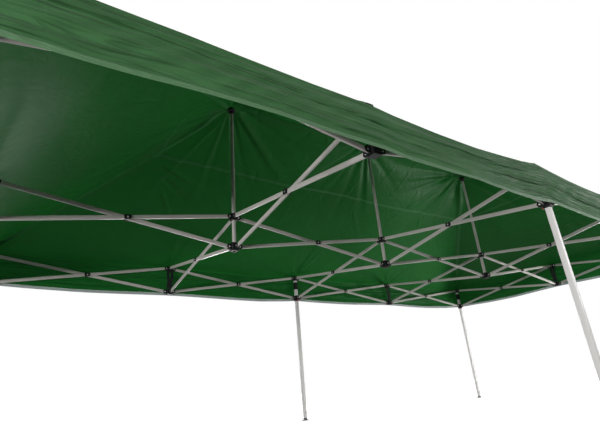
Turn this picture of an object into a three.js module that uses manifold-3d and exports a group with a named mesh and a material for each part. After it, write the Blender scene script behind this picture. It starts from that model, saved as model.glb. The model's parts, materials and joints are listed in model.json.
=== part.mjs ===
// A 3 x 6 m folding gazebo: six telescopic legs, a scissor truss over four by two bays,
// three telescopic peak poles and a hipped canopy with a valance. Millimetres, +Z up,
// the floor at z = 0, long side along X.
import * as THREE from 'three';
import { mergeVertices } from 'three/addons/utils/BufferGeometryUtils.js';
import Module from 'manifold-3d';

const wasm = await Module();
wasm.setup();

// Grid: five columns along X (0 to 4) and three rows along Y (-1 near, 0 centre, 1 far).
const PITCH = 1470; // between neighbouring columns, and between rows
const COLUMNS = [0, 1, 2, 3, 4];
const ROWS = [-1, 0, 1];
const UPPER_PIN_Z = 1500; // height of the upper pins over the floor
const TRUSS_DROP = 225; // from the upper pins down to the lower pins, frame open

// Scissor bars: rectangular tubes, two to each crossing.
const BAR_THICK = 13;
const BAR_HIGH = 26;
const BAR_WALL = 0.8;
const BAR_OVERHANG = 10; // tube past its end pins
const BAR_GAP = 0.8; // between the two bars of a crossing
const PIN_R = 3;
const PIN_CLEAR = 0.5; // radial, between a pin and the hole it turns in
const PIN_SIDES = 6;
const PIN_ROOM = 2; // between a bar's turning end and the connector's block
const RIVET_HEAD_R = 9;
const RIVET_HEAD_THICK = 3;

// Nylon connectors.
const CHEEK_THICK = 3.2;
const CHEEK_GAP = 0.35; // between a cheek and its bar
const CHEEK_HIGH = 26;
const CHEEK_END = 10; // cheek past its pin
const LEG_CAP_UP = 24; // leg connector above and below its pins
const LEG_CAP_DOWN = 26;
const SLEEVE_WALL = 3.2;
const SLIDER_UP = 24;
const SLIDER_DOWN = 38;
const BLOCK_UP = 20; // hub and tee blocks above and below their pins
const BLOCK_DOWN = 20;
const BUTTON_WIDE = 14;
const BUTTON_OUT = 13;
const BUTTON_HIGH = 12;

// Legs: square tubes, the inner one slides down for height.
const LEG_WIDE = 32;
const LEG_WALL = 1;
const INNER_WALL = 1;
const INNER_LONG = 1150;
const SLIDE_CLEAR = 0.4;
const FOOT_WIDE = 72;
const FOOT_THICK = 6;
const BOOT_TOP = 24;
const LEG_BOTTOM = 28; // lower end of the outer leg

// Peak poles: a round lower tube on the lower hub and an upper tube with a cap.
const POLE_R = 14;
const POLE_WALL = 1;
const POLE_TOP_OVER_PINS = 400;
const PEAK_WALL = 1;
const PEAK_BOTTOM_OVER_PINS = 25;
const CAP_BASE_OVER_PINS = 922;
const CAP_R = 34;
const CAP_HIGH = 38;
const ROUND_SIDES = 12;

// Canopy: the outer skin, measured over the pins and the grid.
const SKIN = 1;
const SIDE_CLEAR = 10.4; // valance outside the leg connectors
const EAVE_CLEAR = 8; // eave over the leg connectors
const VALANCE_DROP = 267;
const CAP_CLEAR = 0.4; // roof over the caps it rests on
const ROOF_SKIN_RISE = 1.3; // upright thickness of the sloping skin over its square thickness

const STEEL = { color: 0x8f8b86, roughness: 0.45, metalness: 0.35 };
const LEG_STEEL = { color: 0xc9c4c0, roughness: 0.4, metalness: 0.3 };
const NYLON = { color: 0x121213, roughness: 0.55, metalness: 0 };
const FABRIC = { color: 0x14401d, roughness: 0.85, metalness: 0 };

// Worked out from the sizes above.
const lowerPinZ = UPPER_PIN_Z - TRUSS_DROP;
const barSide = (BAR_THICK + BAR_GAP) / 2; // a bar's middle off its bay's centre plane
const armHalf = barSide + BAR_THICK / 2 + CHEEK_GAP + CHEEK_THICK; // outer face of the wider cheek
const sleeveHalf = Math.max(armHalf, LEG_WIDE / 2 + SLIDE_CLEAR + SLEEVE_WALL);
const hubHalf = Math.max(armHalf, POLE_R + SLIDE_CLEAR + SLEEVE_WALL);
const pinReach = sleeveHalf + Math.hypot(BAR_OVERHANG, BAR_HIGH / 2) + PIN_ROOM; // column's axis to its pins
const barLong = Math.hypot(PITCH - 2 * pinReach, TRUSS_DROP);
const innerWide = LEG_WIDE - 2 * LEG_WALL - 2 * SLIDE_CLEAR;
const peakR = POLE_R - POLE_WALL - SLIDE_CLEAR;
const eaveZ = UPPER_PIN_Z + LEG_CAP_UP + EAVE_CLEAR;
const canopyHalfX = 2 * PITCH + sleeveHalf + SIDE_CLEAR;
const canopyHalfY = PITCH + sleeveHalf + SIDE_CLEAR;
const X = new THREE.Vector3(1, 0, 0);
const Y = new THREE.Vector3(0, 1, 0);
const Z = new THREE.Vector3(0, 0, 1);

const gazebo = new THREE.Group();

/** A closed manifold solid from a three.js geometry. */
function solid(geometry) {
  const bare = geometry.clone();
  bare.deleteAttribute('normal');
  bare.deleteAttribute('uv');
  const welded = mergeVertices(bare, 1e-4);
  return new wasm.Manifold(new wasm.Mesh({
    numProp: 3,
    vertProperties: new Float32Array(welded.attributes.position.array),
    triVerts: new Uint32Array(welded.index.array),
  }));
}

/** The solids in a list joined into one. */
function joined(solids) {
  return solids.reduce((whole, next) => whole.add(next));
}

/** A three.js geometry from a manifold solid. */
function geometryOf(body) {
  const mesh = body.getMesh();
  const geometry = new THREE.BufferGeometry();
  geometry.setAttribute('position', new THREE.BufferAttribute(new Float32Array(mesh.vertProperties), 3));
  geometry.setIndex(new THREE.BufferAttribute(new Uint32Array(mesh.triVerts), 1));
  geometry.computeVertexNormals();
  return geometry;
}

/** Adds one named sub-part, drawn about `place`, to the gazebo. */
function addPart(name, body, finish, place = new THREE.Vector3()) {
  const mesh = new THREE.Mesh(geometryOf(body), new THREE.MeshStandardMaterial(finish));
  mesh.name = name;
  mesh.position.copy(place);
  gazebo.add(mesh);
}

/** An axis-aligned box between two corners. */
function box(low, high) {
  const size = high.map((value, k) => value - low[k]);
  const middle = high.map((value, k) => (value + low[k]) / 2);
  return solid(new THREE.BoxGeometry(...size).translate(...middle));
}

/** A cylinder of polygon section about `axis`, centred on `middle`. */
function cylinder(radius, length, sides, axis, middle) {
  const turn = new THREE.Quaternion().setFromUnitVectors(Y, axis);
  const geometry = new THREE.CylinderGeometry(radius, radius, length, sides);
  return solid(geometry.applyQuaternion(turn).translate(...middle));
}

/** A square or rectangular tube standing on `bottom`, open at both ends. */
function tube(wideX, wideY, wall, bottom, top) {
  const outer = rectangle(THREE.Shape, wideX, wideY);
  outer.holes.push(rectangle(THREE.Path, wideX - 2 * wall, wideY - 2 * wall));
  const geometry = new THREE.ExtrudeGeometry(outer, { depth: top - bottom, bevelEnabled: false });
  return solid(geometry.translate(0, 0, bottom));
}

/** A rectangle about the origin as a Shape or a Path. */
function rectangle(Kind, wideX, wideY) {
  const [x, y] = [wideX / 2, wideY / 2];
  return new Kind([[-x, -y], [x, -y], [x, y], [-x, y]].map(([a, b]) => new THREE.Vector2(a, b)));
}

/** A round tube standing on `bottom`, open at both ends. */
function roundTube(radius, wall, bottom, top) {
  const middle = [0, 0, (top + bottom) / 2];
  const bore = cylinder(radius - wall, top - bottom + 2, ROUND_SIDES, Z, middle);
  return cylinder(radius, top - bottom, ROUND_SIDES, Z, middle).subtract(bore);
}

/** The place of a column's axis at height z. */
function at(column, row, z = 0) {
  return new THREE.Vector3((column - 2) * PITCH, row * PITCH, z);
}

/** The horizontal direction square to a bay's own direction, which its bars stand off along. */
function sideOf(direction) {
  return Math.abs(direction.x) > 0.5 ? Y : X;
}

/** A scissor bar along +X from its first pin, with a pin hole at each end. */
function plainBar(middleHole) {
  const long = barLong + 2 * BAR_OVERHANG;
  const stretch = tube(BAR_HIGH, BAR_THICK, BAR_WALL, 0, long);
  const lying = stretch.rotate([0, 90, 0]).translate([-BAR_OVERHANG, 0, 0]);
  const holeR = (PIN_R + PIN_CLEAR) / Math.cos(Math.PI / PIN_SIDES);
  const places = middleHole ? [0, barLong / 2, barLong] : [0, barLong];
  const holes = places.map((x) => cylinder(holeR, 2 * BAR_THICK, PIN_SIDES, Y, [x, 0, 0]));
  return lying.subtract(joined(holes));
}

/** The stud of a crossing about its own bar's middle, with a head on each outer face. */
function rivet() {
  const reach = 2 * barSide + BAR_THICK / 2;
  const stud = cylinder(PIN_R, reach + BAR_THICK / 2, PIN_SIDES, Y, [0, (BAR_THICK / 2 - reach) / 2, 0]);
  const headY = reach + CHEEK_GAP + RIVET_HEAD_THICK / 2;
  const far = cylinder(RIVET_HEAD_R, RIVET_HEAD_THICK, 2 * PIN_SIDES, Y, [0, -headY, 0]);
  const link = cylinder(PIN_R, RIVET_HEAD_THICK, PIN_SIDES, Y, [0, -reach - RIVET_HEAD_THICK / 2, 0]);
  const near = cylinder(RIVET_HEAD_R, RIVET_HEAD_THICK, 2 * PIN_SIDES, Y,
    [0, BAR_THICK / 2 + RIVET_HEAD_THICK / 2 - 0.1, 0]);
  return joined([stud, link, far, near]);
}

/** Moves a bar drawn along +X so that it runs from pin to pin, off to one side of its bay. */
function placedBar(bar, from, to, direction, side) {
  const along = to.clone().sub(from).normalize();
  const across = sideOf(direction);
  const up = along.clone().cross(across);
  const turn = new THREE.Matrix4().makeBasis(along, across, up);
  const middle = from.clone().addScaledVector(across, side);
  return bar.transform([...turn.setPosition(middle).elements]);
}

/** The falling and rising bars, each drawn along +X, set in the bay that leaves (column, row) along `direction`. */
function crossing(column, row, direction, fallingBar, risingBar) {
  const start = at(column, row).addScaledVector(direction, pinReach);
  const end = at(column, row).addScaledVector(direction, PITCH - pinReach);
  const [high, low] = [Z.clone().multiplyScalar(UPPER_PIN_Z), Z.clone().multiplyScalar(lowerPinZ)];
  const falling = placedBar(fallingBar, start.clone().add(high), end.clone().add(low), direction, barSide);
  const rising = placedBar(risingBar, start.clone().add(low), end.clone().add(high), direction, -barSide);
  return { falling, rising };
}

/** One arm of a connector: two cheeks and the pin between them, about the column's axis at pin height. */
function arm(direction, side, blockHalf) {
  const across = sideOf(direction);
  const middle = BAR_THICK / 2 + CHEEK_GAP + CHEEK_THICK / 2;
  const long = pinReach + CHEEK_END - blockHalf + 1;
  const pieces = [-1, 1].map((way) => {
    const place = across.clone().multiplyScalar(side + way * middle);
    place.addScaledVector(direction, blockHalf - 1 + long / 2);
    const size = direction.clone().multiplyScalar(long).addScaledVector(across, CHEEK_THICK);
    return solid(new THREE.BoxGeometry(Math.abs(size.x), Math.abs(size.y), CHEEK_HIGH)
      .translate(...place));
  });
  const pinPlace = direction.clone().multiplyScalar(pinReach).addScaledVector(across, side);
  const pin = cylinder(PIN_R, 2 * middle, PIN_SIDES, across, pinPlace);
  return joined([...pieces, pin]);
}

/** The bays that meet at a column: direction out, and whether the bay starts here. */
function baysAt(column, row) {
  return [
    column < COLUMNS.at(-1) && { way: X.clone(), starts: true },
    column > 0 && { way: X.clone().negate(), starts: false },
    row < ROWS.at(-1) && { way: Y.clone(), starts: true },
    row > ROWS[0] && { way: Y.clone().negate(), starts: false },
  ].filter(Boolean);
}

/** A connector's arms at a column: a falling bar's pins are on the plus side, a rising bar's on the minus. */
function arms(column, row, upper, blockHalf) {
  return joined(baysAt(column, row).map(({ way, starts }) => {
    const side = starts === upper ? barSide : -barSide;
    return arm(way, side, blockHalf);
  }));
}

/** A square block about the column's axis, measured from pin height. */
function block(half, down, up) {
  return box([-half, -half, -down], [half, half, up]);
}

/** An outer leg with its top connector. */
function outerLeg(column, row) {
  const post = tube(LEG_WIDE, LEG_WIDE, LEG_WALL, LEG_BOTTOM - UPPER_PIN_Z, 0);
  const top = block(sleeveHalf, LEG_CAP_DOWN, LEG_CAP_UP);
  return joined([post, top, arms(column, row, true, sleeveHalf)]);
}

/** An inner leg with its foot, about the column's axis at the floor. */
function innerLeg() {
  const post = tube(innerWide, innerWide, INNER_WALL, FOOT_THICK, INNER_LONG);
  const plate = block(FOOT_WIDE / 2, 0, FOOT_THICK);
  const boot = box([-LEG_WIDE / 2, -LEG_WIDE / 2, FOOT_THICK - 1], [LEG_WIDE / 2, LEG_WIDE / 2, BOOT_TOP]);
  return joined([post, plate, boot]);
}

/** A slider with its release button on the inner face, under the cross bay's arm. */
function slider(column, row) {
  const half = LEG_WIDE / 2 + SLIDE_CLEAR;
  const bore = box([-half, -half, -2 * SLIDER_DOWN], [half, half, 2 * SLIDER_UP]);
  const inward = -row;
  const faces = [sleeveHalf - 1, sleeveHalf + BUTTON_OUT].map((y) => inward * y).sort((a, b) => a - b);
  const button = box([-BUTTON_WIDE / 2, faces[0], -SLIDER_DOWN],
    [BUTTON_WIDE / 2, faces[1], BUTTON_HIGH - SLIDER_DOWN]);
  const body = joined([block(sleeveHalf, SLIDER_DOWN, SLIDER_UP), arms(column, row, false, sleeveHalf), button]);
  return body.subtract(bore);
}

/** A lower hub with the lower tube of its peak pole. */
function lowerHub(column) {
  const body = block(hubHalf, BLOCK_DOWN, BLOCK_UP).add(arms(column, 0, false, hubHalf));
  const bore = cylinder(POLE_R - POLE_WALL, 2 * BLOCK_DOWN, ROUND_SIDES, Z, [0, 0, BLOCK_DOWN - 5]);
  const pole = roundTube(POLE_R, POLE_WALL, 0, TRUSS_DROP + POLE_TOP_OVER_PINS);
  return body.subtract(bore).add(pole);
}

/** An upper hub, which the peak pole slides through. */
function upperHub(column) {
  const body = block(hubHalf, BLOCK_DOWN, BLOCK_UP).add(arms(column, 0, true, hubHalf));
  return body.subtract(cylinder(POLE_R + SLIDE_CLEAR, 4 * BLOCK_UP, ROUND_SIDES, Z, [0, 0, 0]));
}

/** The outline of a cap over its base, from rim to crown. */
function capProfile() {
  return new THREE.SplineCurve([
    new THREE.Vector2(CAP_R, CAP_HIGH * 0.3),
    new THREE.Vector2(CAP_R * 0.8, CAP_HIGH * 0.68),
    new THREE.Vector2(CAP_R * 0.42, CAP_HIGH * 0.93),
    new THREE.Vector2(0, CAP_HIGH),
  ]).getPoints(4);
}

/** The upper tube of a peak pole and its domed cap, measured from the upper pins. */
function peakTube() {
  const outline = [new THREE.Vector2(0, 0), new THREE.Vector2(CAP_R, 0), ...capProfile()];
  const dome = new THREE.LatheGeometry(outline, ROUND_SIDES);
  const cap = solid(dome.rotateX(Math.PI / 2).translate(0, 0, CAP_BASE_OVER_PINS));
  const post = roundTube(peakR, PEAK_WALL, PEAK_BOTTOM_OVER_PINS, CAP_BASE_OVER_PINS + 1);
  return post.add(cap);
}

/** A block with arms alone, at an edge of the truss where no leg or pole stands. */
function tee(column, row, upper) {
  return block(hubHalf, BLOCK_DOWN, BLOCK_UP).add(arms(column, row, upper, hubHalf));
}

/** The ridge height at which planes rising from the eave just clear a cap's outline. */
function ridgeOverCaps() {
  const base = UPPER_PIN_Z + CAP_BASE_OVER_PINS;
  const reach = canopyHalfY - SKIN;
  const heights = capProfile().map((point) => (base + point.y - eaveZ * point.x / reach) / (1 - point.x / reach));
  return Math.max(...heights) + CAP_CLEAR;
}

/** The solid under a hipped roof with upright sides, `inset` inside the canopy's outer skin. */
function hippedSolid(inset, bottom) {
  const halfX = canopyHalfX - inset;
  const halfY = canopyHalfY - inset;
  const ridge = ridgeOverCaps() + ROOF_SKIN_RISE * (SKIN - inset);
  const across = prism([[-halfY, bottom], [halfY, bottom], [halfY, eaveZ], [0, ridge], [-halfY, eaveZ]],
    2 * halfX);
  const along = prism([[-halfX, bottom], [halfX, bottom], [halfX, eaveZ], [PITCH, ridge],
    [-PITCH, ridge], [-halfX, eaveZ]], 2 * halfY);
  return across.rotate([90, 0, 90]).intersect(along.rotate([90, 0, 0]));
}

/** A prism of a closed outline, centred on its own length. */
function prism(outline, long) {
  const shape = new THREE.Shape(outline.map(([a, b]) => new THREE.Vector2(a, b)));
  const geometry = new THREE.ExtrudeGeometry(shape, { depth: long, bevelEnabled: false });
  return solid(geometry.translate(0, 0, -long / 2));
}

function canopy() {
  const bottom = eaveZ - VALANCE_DROP;
  return hippedSolid(0, bottom).subtract(hippedSolid(SKIN, bottom - 10 * SKIN));
}

const columnName = ['left', 'mid_left', 'centre', 'mid_right', 'right'];
const rowName = { '-1': 'near', 0: 'ridge', 1: 'far' };

function buildLegs() {
  for (const column of [0, 2, 4]) {
    for (const row of [-1, 1]) {
      const place = `${rowName[row]}_${columnName[column]}`;
      addPart(`outer_leg_${place}`, outerLeg(column, row), LEG_STEEL, at(column, row, UPPER_PIN_Z));
      addPart(`inner_leg_${place}`, innerLeg(), LEG_STEEL, at(column, row));
      addPart(`slider_${place}`, slider(column, row), NYLON, at(column, row, lowerPinZ));
    }
  }
}

function buildPoles() {
  for (const column of [1, 2, 3]) {
    addPart(`lower_hub_${columnName[column]}`, lowerHub(column), NYLON, at(column, 0, lowerPinZ));
    addPart(`peak_tube_${columnName[column]}`, peakTube(), STEEL, at(column, 0, UPPER_PIN_Z));
    addPart(`upper_hub_${columnName[column]}`, upperHub(column), NYLON, at(column, 0, UPPER_PIN_Z));
  }
  for (const column of [0, 4]) {
    addPart(`upper_connector_${columnName[column]}`, tee(column, 0, true), NYLON, at(column, 0, UPPER_PIN_Z));
  }
}

/** Crossings whose two bars are nodes of their own. */
function buildSeparateCrossings() {
  const bays = [[1, 0, X], [2, 0, X], [2, -1, Y], [2, 0, Y], [0, -1, Y], [0, 0, Y], [4, -1, Y], [4, 0, Y]];
  const studded = plainBar(false).add(rivet().translate([barLong / 2, 0, 0]));
  for (const [column, row, direction] of bays) {
    const { falling, rising } = crossing(column, row, direction, studded, plainBar(true));
    const way = direction === X ? 'long' : 'cross';
    const place = direction === X ? columnName[column] : `${columnName[column]}_${row ? 'near' : 'far'}`;
    addPart(`${way}_bar_falling_${place}`, falling, STEEL);
    addPart(`${way}_bar_rising_${place}`, rising, STEEL);
  }
}

/** A crossing as one node, with the connectors that only it carries. */
function addJoinedCrossing(name, column, row, direction, connectors) {
  const { falling, rising } = crossing(column, row, direction, plainBar(false), plainBar(false));
  const tight = joinedStud(column, row, direction);
  addPart(name, joined([falling, rising, tight, ...connectors]), STEEL);
}

/** The stud that fixes the two bars of a joined crossing to each other, with its heads. */
function joinedStud(column, row, direction) {
  const middle = at(column, row, UPPER_PIN_Z - TRUSS_DROP / 2).addScaledVector(direction, PITCH / 2);
  const long = 2 * (barSide + BAR_THICK / 2 + RIVET_HEAD_THICK);
  return cylinder(RIVET_HEAD_R, long, PIN_SIDES, sideOf(direction), middle);
}

/** A tee where it stands, with a plug in each hole of the bar it is fixed to. */
function fixedTee(column, row, upper, direction) {
  const place = at(column, row, upper ? UPPER_PIN_Z : lowerPinZ);
  const starts = direction.x + direction.y > 0;
  const side = starts === upper ? barSide : -barSide;
  const pinPlace = direction.clone().multiplyScalar(pinReach).addScaledVector(sideOf(direction), side);
  const plug = cylinder(PIN_R + 3 * PIN_CLEAR, BAR_THICK + 1, PIN_SIDES, sideOf(direction), pinPlace);
  return tee(column, row, upper).add(plug).translate([...place]);
}

function buildJoinedCrossings() {
  for (const row of [-1, 1]) {
    for (const column of [0, 1, 2, 3]) {
      addJoinedCrossing(`side_crossing_${rowName[row]}_${column + 1}`, column, row, X, []);
    }
  }
  for (const column of [1, 3]) {
    for (const row of [-1, 1]) {
      const inward = Y.clone().multiplyScalar(-row);
      const tees = [true, false].map((upper) => fixedTee(column, row, upper, inward));
      addJoinedCrossing(`cross_crossing_${columnName[column]}_${rowName[row]}`, column, Math.min(row, 0), Y, tees);
    }
  }
  for (const [column, start, inward] of [[0, 0, X.clone()], [4, 3, X.clone().negate()]]) {
    const tees = [fixedTee(column, 0, false, inward)];
    addJoinedCrossing(`ridge_crossing_${columnName[column]}`, start, 0, X, tees);
  }
}

buildLegs();
buildPoles();
buildSeparateCrossings();
buildJoinedCrossings();
addPart('canopy', canopy(), FABRIC);

export default gazebo;
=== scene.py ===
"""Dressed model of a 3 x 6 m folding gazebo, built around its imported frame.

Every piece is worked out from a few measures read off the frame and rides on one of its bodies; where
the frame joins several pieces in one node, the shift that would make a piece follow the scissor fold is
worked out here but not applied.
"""

from __future__ import annotations

import json
import logging
import math
from dataclasses import dataclass, field
from enum import Enum

import bpy
import numpy as np
from mathutils import Matrix, Vector

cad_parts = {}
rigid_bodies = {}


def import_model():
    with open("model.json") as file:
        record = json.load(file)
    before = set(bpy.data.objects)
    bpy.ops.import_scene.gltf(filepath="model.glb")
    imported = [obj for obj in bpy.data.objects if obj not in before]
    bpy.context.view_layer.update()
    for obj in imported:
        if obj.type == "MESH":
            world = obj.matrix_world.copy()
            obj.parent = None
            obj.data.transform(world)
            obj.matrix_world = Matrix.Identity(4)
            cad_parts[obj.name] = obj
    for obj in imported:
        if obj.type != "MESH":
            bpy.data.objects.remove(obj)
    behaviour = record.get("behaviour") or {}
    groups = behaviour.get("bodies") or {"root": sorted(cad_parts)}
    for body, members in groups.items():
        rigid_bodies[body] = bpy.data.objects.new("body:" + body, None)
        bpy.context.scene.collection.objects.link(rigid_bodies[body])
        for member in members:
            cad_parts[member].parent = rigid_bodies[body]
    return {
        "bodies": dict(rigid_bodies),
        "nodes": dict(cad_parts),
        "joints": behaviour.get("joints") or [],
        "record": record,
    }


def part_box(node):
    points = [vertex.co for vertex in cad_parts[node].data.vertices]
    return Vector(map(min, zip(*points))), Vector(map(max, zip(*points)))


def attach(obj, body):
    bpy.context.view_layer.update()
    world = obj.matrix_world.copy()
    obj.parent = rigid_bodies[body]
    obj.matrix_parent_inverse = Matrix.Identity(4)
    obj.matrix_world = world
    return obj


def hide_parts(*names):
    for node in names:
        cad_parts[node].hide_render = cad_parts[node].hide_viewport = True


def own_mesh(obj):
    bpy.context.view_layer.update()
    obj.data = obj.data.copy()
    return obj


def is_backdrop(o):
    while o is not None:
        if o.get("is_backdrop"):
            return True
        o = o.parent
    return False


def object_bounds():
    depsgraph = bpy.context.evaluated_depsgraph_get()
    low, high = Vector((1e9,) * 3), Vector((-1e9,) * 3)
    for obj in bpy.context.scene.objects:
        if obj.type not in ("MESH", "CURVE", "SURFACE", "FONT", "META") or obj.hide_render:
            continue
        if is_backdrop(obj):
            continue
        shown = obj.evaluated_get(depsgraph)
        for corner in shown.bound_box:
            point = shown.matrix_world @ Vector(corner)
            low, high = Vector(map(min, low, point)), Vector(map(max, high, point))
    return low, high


LOG = logging.getLogger("gazebo")
Array = np.ndarray
Profile = list[tuple[float, float]]  # pairs of height and inset, from the bottom up
UP = np.array([0, 0, 1.0])
PLACES = {-1: "near", 0: "middle", 1: "far"}
COLUMNS = ("left", "mid_left", "centre", "mid_right", "right")
LEG_COLUMNS = (0, 2, 4)
POLE_COLUMNS = (1, 2, 3)
EDGE_ROWS = (-1, 1)


class Way(Enum):
    """The direction a truss bay runs in."""

    LONG = 0
    CROSS = 1

    @property
    def along(self) -> Array:
        """Unit vector along the bay."""
        return np.eye(3)[self.value]

    @property
    def across(self) -> Array:
        """Unit vector that the two bars of a crossing stand off along."""
        return np.eye(3)[1 - self.value]


class Lean(Enum):
    """How a bar runs from the start of its bay: from the upper pin down, or from the lower pin up."""

    FALLING = -1
    RISING = 1


class Level(Enum):
    """The upper connectors stay at one height; the lower ones drop as the frame folds."""

    UPPER = 0
    LOWER = 1


def rotation(axis: Array, angle: float) -> Array:
    """Rotation matrix about a unit axis.

    Args:
        axis: Unit vector.
        angle: Radians, right-handed.

    Returns:
        A 3 x 3 matrix.
    """
    return np.array(Matrix.Rotation(angle, 3, Vector(axis)))


def leg_tail(column: int, row: int) -> str:
    """The end of a leg's names, such as near_left."""
    return f"{PLACES[row]}_{COLUMNS[column]}"


@dataclass(frozen=True)
class Grid:
    """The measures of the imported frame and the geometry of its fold."""

    pitch: float
    reach: float
    upper: float
    lower: float
    side: float
    bar_thick: float
    bar_high: float
    fold: float

    @classmethod
    def read(cls, frame: dict) -> "Grid":
        """Reads the grid from the frame's nodes and joints.


        Returns:
            The grid.
        """
        joints = {joint["name"]: joint for joint in frame["joints"]}
        drive, drop = joints["frame_fold"], joints["lower_hub_mid_left_hinge"]
        low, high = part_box("cross_bar_rising_centre_near")
        hub_low, hub_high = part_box("upper_hub_mid_right")
        thick = high[0] - low[0]
        return cls(
            pitch=(hub_low[0] + hub_high[0]) / 2,
            reach=abs(drive["pos_m"][0]),
            upper=drive["pos_m"][2],
            lower=drop["pos_m"][2],
            side=abs(high[0] + low[0]) / 2,
            bar_thick=thick,
            bar_high=2 * thick,
            fold=math.radians(drive["range_deg"][1]),
        )

    @property
    def drop(self) -> float:
        """Height from the lower pins up to the upper pins."""
        return self.upper - self.lower

    @property
    def bar_length(self) -> float:
        """Length of a bar between its end pins."""
        return math.hypot(self.pitch - 2 * self.reach, self.drop)

    @property
    def lean(self) -> float:
        """A bar's angle from the horizontal when the frame is open."""
        return math.asin(self.drop / self.bar_length)

    def axis_of(self, column: int, row: int, level: Level) -> Array:
        """The point on a column's axis at the height of one level's pins."""
        height = self.upper if level is Level.UPPER else self.lower
        return np.array([(column - 2) * self.pitch, row * self.pitch, height])

    def ground(self, column: int, row: int) -> Array:
        """The point on the ground under a column's axis."""
        return self.axis_of(column, row, Level.UPPER) * np.array([1, 1, 0])

    def shift(self, column: int, row: int, level: Level) -> Array:
        """How far a connector moves, from open to fully folded, with the centre of the roof held.

        Args:
            column: 0 at the left to 4 at the right.
            row: -1 near, 0 middle, 1 far.
            level: Upper or lower.

        Returns:
            The shift, in metres.
        """
        steep = self.lean + self.fold
        closer = self.bar_length * math.cos(steep) + 2 * self.reach - self.pitch
        fall = self.drop - self.bar_length * math.sin(steep) if level is Level.LOWER else 0.0
        return np.array([(column - 2) * closer, row * closer, fall])


@dataclass(frozen=True)
class Bay:
    """One bay of the truss, with the two bars that cross in it."""

    column: int
    row: int
    way: Way

    def pin(self, grid: Grid, start: bool, level: Level) -> Array:
        """The pin at one end of the bay, on the bay's centre plane.

        Args:
            grid: The frame's measures.
            start: True for the low end.
            level: Upper or lower.

        Returns:
            The pin's point.
        """
        step = np.eye(3)[self.way.value].astype(int)
        column, row = self.column + (0 if start else step[0]), self.row + (0 if start else step[1])
        out = self.way.along * (grid.reach if start else -grid.reach)
        return grid.axis_of(column, row, level) + out

    def ends(self, grid: Grid, lean: Lean) -> tuple[Array, Array]:
        """The two end pins of one bar, each at the middle of the bar's thickness.

        Args:
            grid: The frame's measures.
            lean: Which of the bay's bars.

        Returns:
            The start pin and the end pin.
        """
        first, last = (Level.UPPER, Level.LOWER) if lean is Lean.FALLING else (Level.LOWER, Level.UPPER)
        off = self.way.across * (grid.side if lean is Lean.FALLING else -grid.side)
        return self.pin(grid, True, first) + off, self.pin(grid, False, last) + off

    def motion(self, grid: Grid, lean: Lean) -> tuple[Array, Array]:
        """One bar's rigid motion from open to folded.

        Args:
            grid: The frame's measures.
            lean: Which of the two bars.

        Returns:
            The rotation and the translation that take a point at rest to its folded place.
        """
        sense = -lean.value if self.way is Way.LONG else lean.value
        turn = rotation(self.way.across, sense * grid.fold)
        level = Level.UPPER if lean is Lean.FALLING else Level.LOWER
        start = self.pin(grid, True, level)
        return turn, start + grid.shift(self.column, self.row, level) - turn @ start


@dataclass(frozen=True)
class Carrier:
    """A frame body and its own motion, for pieces that the frame has in a joined node."""

    body: str
    turn: Array
    travel: Array

    def take(self, piece: bpy.types.Object, turn: Array, travel: Array) -> None:
        """Makes a piece ride on the carrier; the shift to its own folded place is worked out but not applied.

        The shift in the rest frame is the carrier's inverse turn applied to the difference between the
        two translations; both turns are the same, so a plain shift is enough.

        Args:
            piece: The piece, in place.
            turn: The piece's own turn, which has to be the carrier's.
            travel: The piece's own translation.
        """
        if not np.allclose(turn, self.turn, atol=1e-6):
            raise ValueError(f"{piece.name} doesn't turn with {self.body}")
        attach(piece, self.body)
        offset = self.turn.T @ (travel - self.travel)
        size = float(np.linalg.norm(offset))
        if size < 1e-4:
            return
        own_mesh(piece)


class Carriers:
    """One carrier for each way that a piece of the frame turns."""

    def __init__(self, grid: Grid) -> None:
        """Picks a bar of each lean and way whose body is its own, and the roof for what doesn't turn.

        Args:
            grid: The frame's measures.
        """
        self.grid = grid
        self.bars = {}
        for way, bay, tail in ((Way.LONG, Bay(1, 0, Way.LONG), "mid_left"),
                               (Way.CROSS, Bay(2, -1, Way.CROSS), "centre_near")):
            for lean in Lean:
                body = f"{way.name.lower()}_bar_{lean.name.lower()}_{tail}"
                self.bars[way, lean] = Carrier(body, *bay.motion(grid, lean))
        self.still = Carrier("roof", np.eye(3), np.zeros(3))

    def take_bar(self, piece: bpy.types.Object, bay: Bay, lean: Lean) -> None:
        """Carries a piece fixed to a bar that shares its node."""
        self.bars[bay.way, lean].take(piece, *bay.motion(self.grid, lean))

    def take_connector(self, piece: bpy.types.Object, column: int, row: int, level: Level) -> None:
        """Carries a piece fixed to a connector that shares its node."""
        self.still.take(piece, np.eye(3), self.grid.shift(column, row, level))


# ---- shapes


def rounded_outline(width: float, height: float, radius: float, steps: int = 3) -> Array:
    """A rounded rectangle: each corner is a quarter circle about its own centre.

    Args:
        width: Along the first axis.
        height: Along the second axis.
        radius: Of the corners.
        steps: Stretches in each quarter circle.

    Returns:
        Points anticlockwise, one row each.
    """
    angles = np.linspace(0, math.pi / 2, steps + 1)[None, :] + np.arange(4)[:, None] * math.pi / 2
    signs = np.array([[1, 1], [-1, 1], [-1, -1], [1, -1]], float)
    centres = signs * np.array([width / 2 - radius, height / 2 - radius])
    arcs = radius * np.stack([np.cos(angles), np.sin(angles)], axis=-1)
    return (centres[:, None, :] + arcs).reshape(-1, 2)


def circle_outline(radius: float, count: int) -> Array:
    """Points round a circle, anticlockwise."""
    angles = np.arange(count) * 2 * math.pi / count
    return radius * np.stack([np.cos(angles), np.sin(angles)], axis=-1)


def chamfered(low: float, high: float, edge: float) -> Profile:
    """The profile of a block with both its ends chamfered."""
    return [(low, edge), (low + edge, 0), (high - edge, 0), (high, edge)]


def rings_at(loops: list[tuple[Array, float]]) -> Array:
    """Outlines lifted to their heights, shaped (rings, points, 3)."""
    return np.stack([np.column_stack([loop, np.full(len(loop), height)]) for loop, height in loops])


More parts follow.
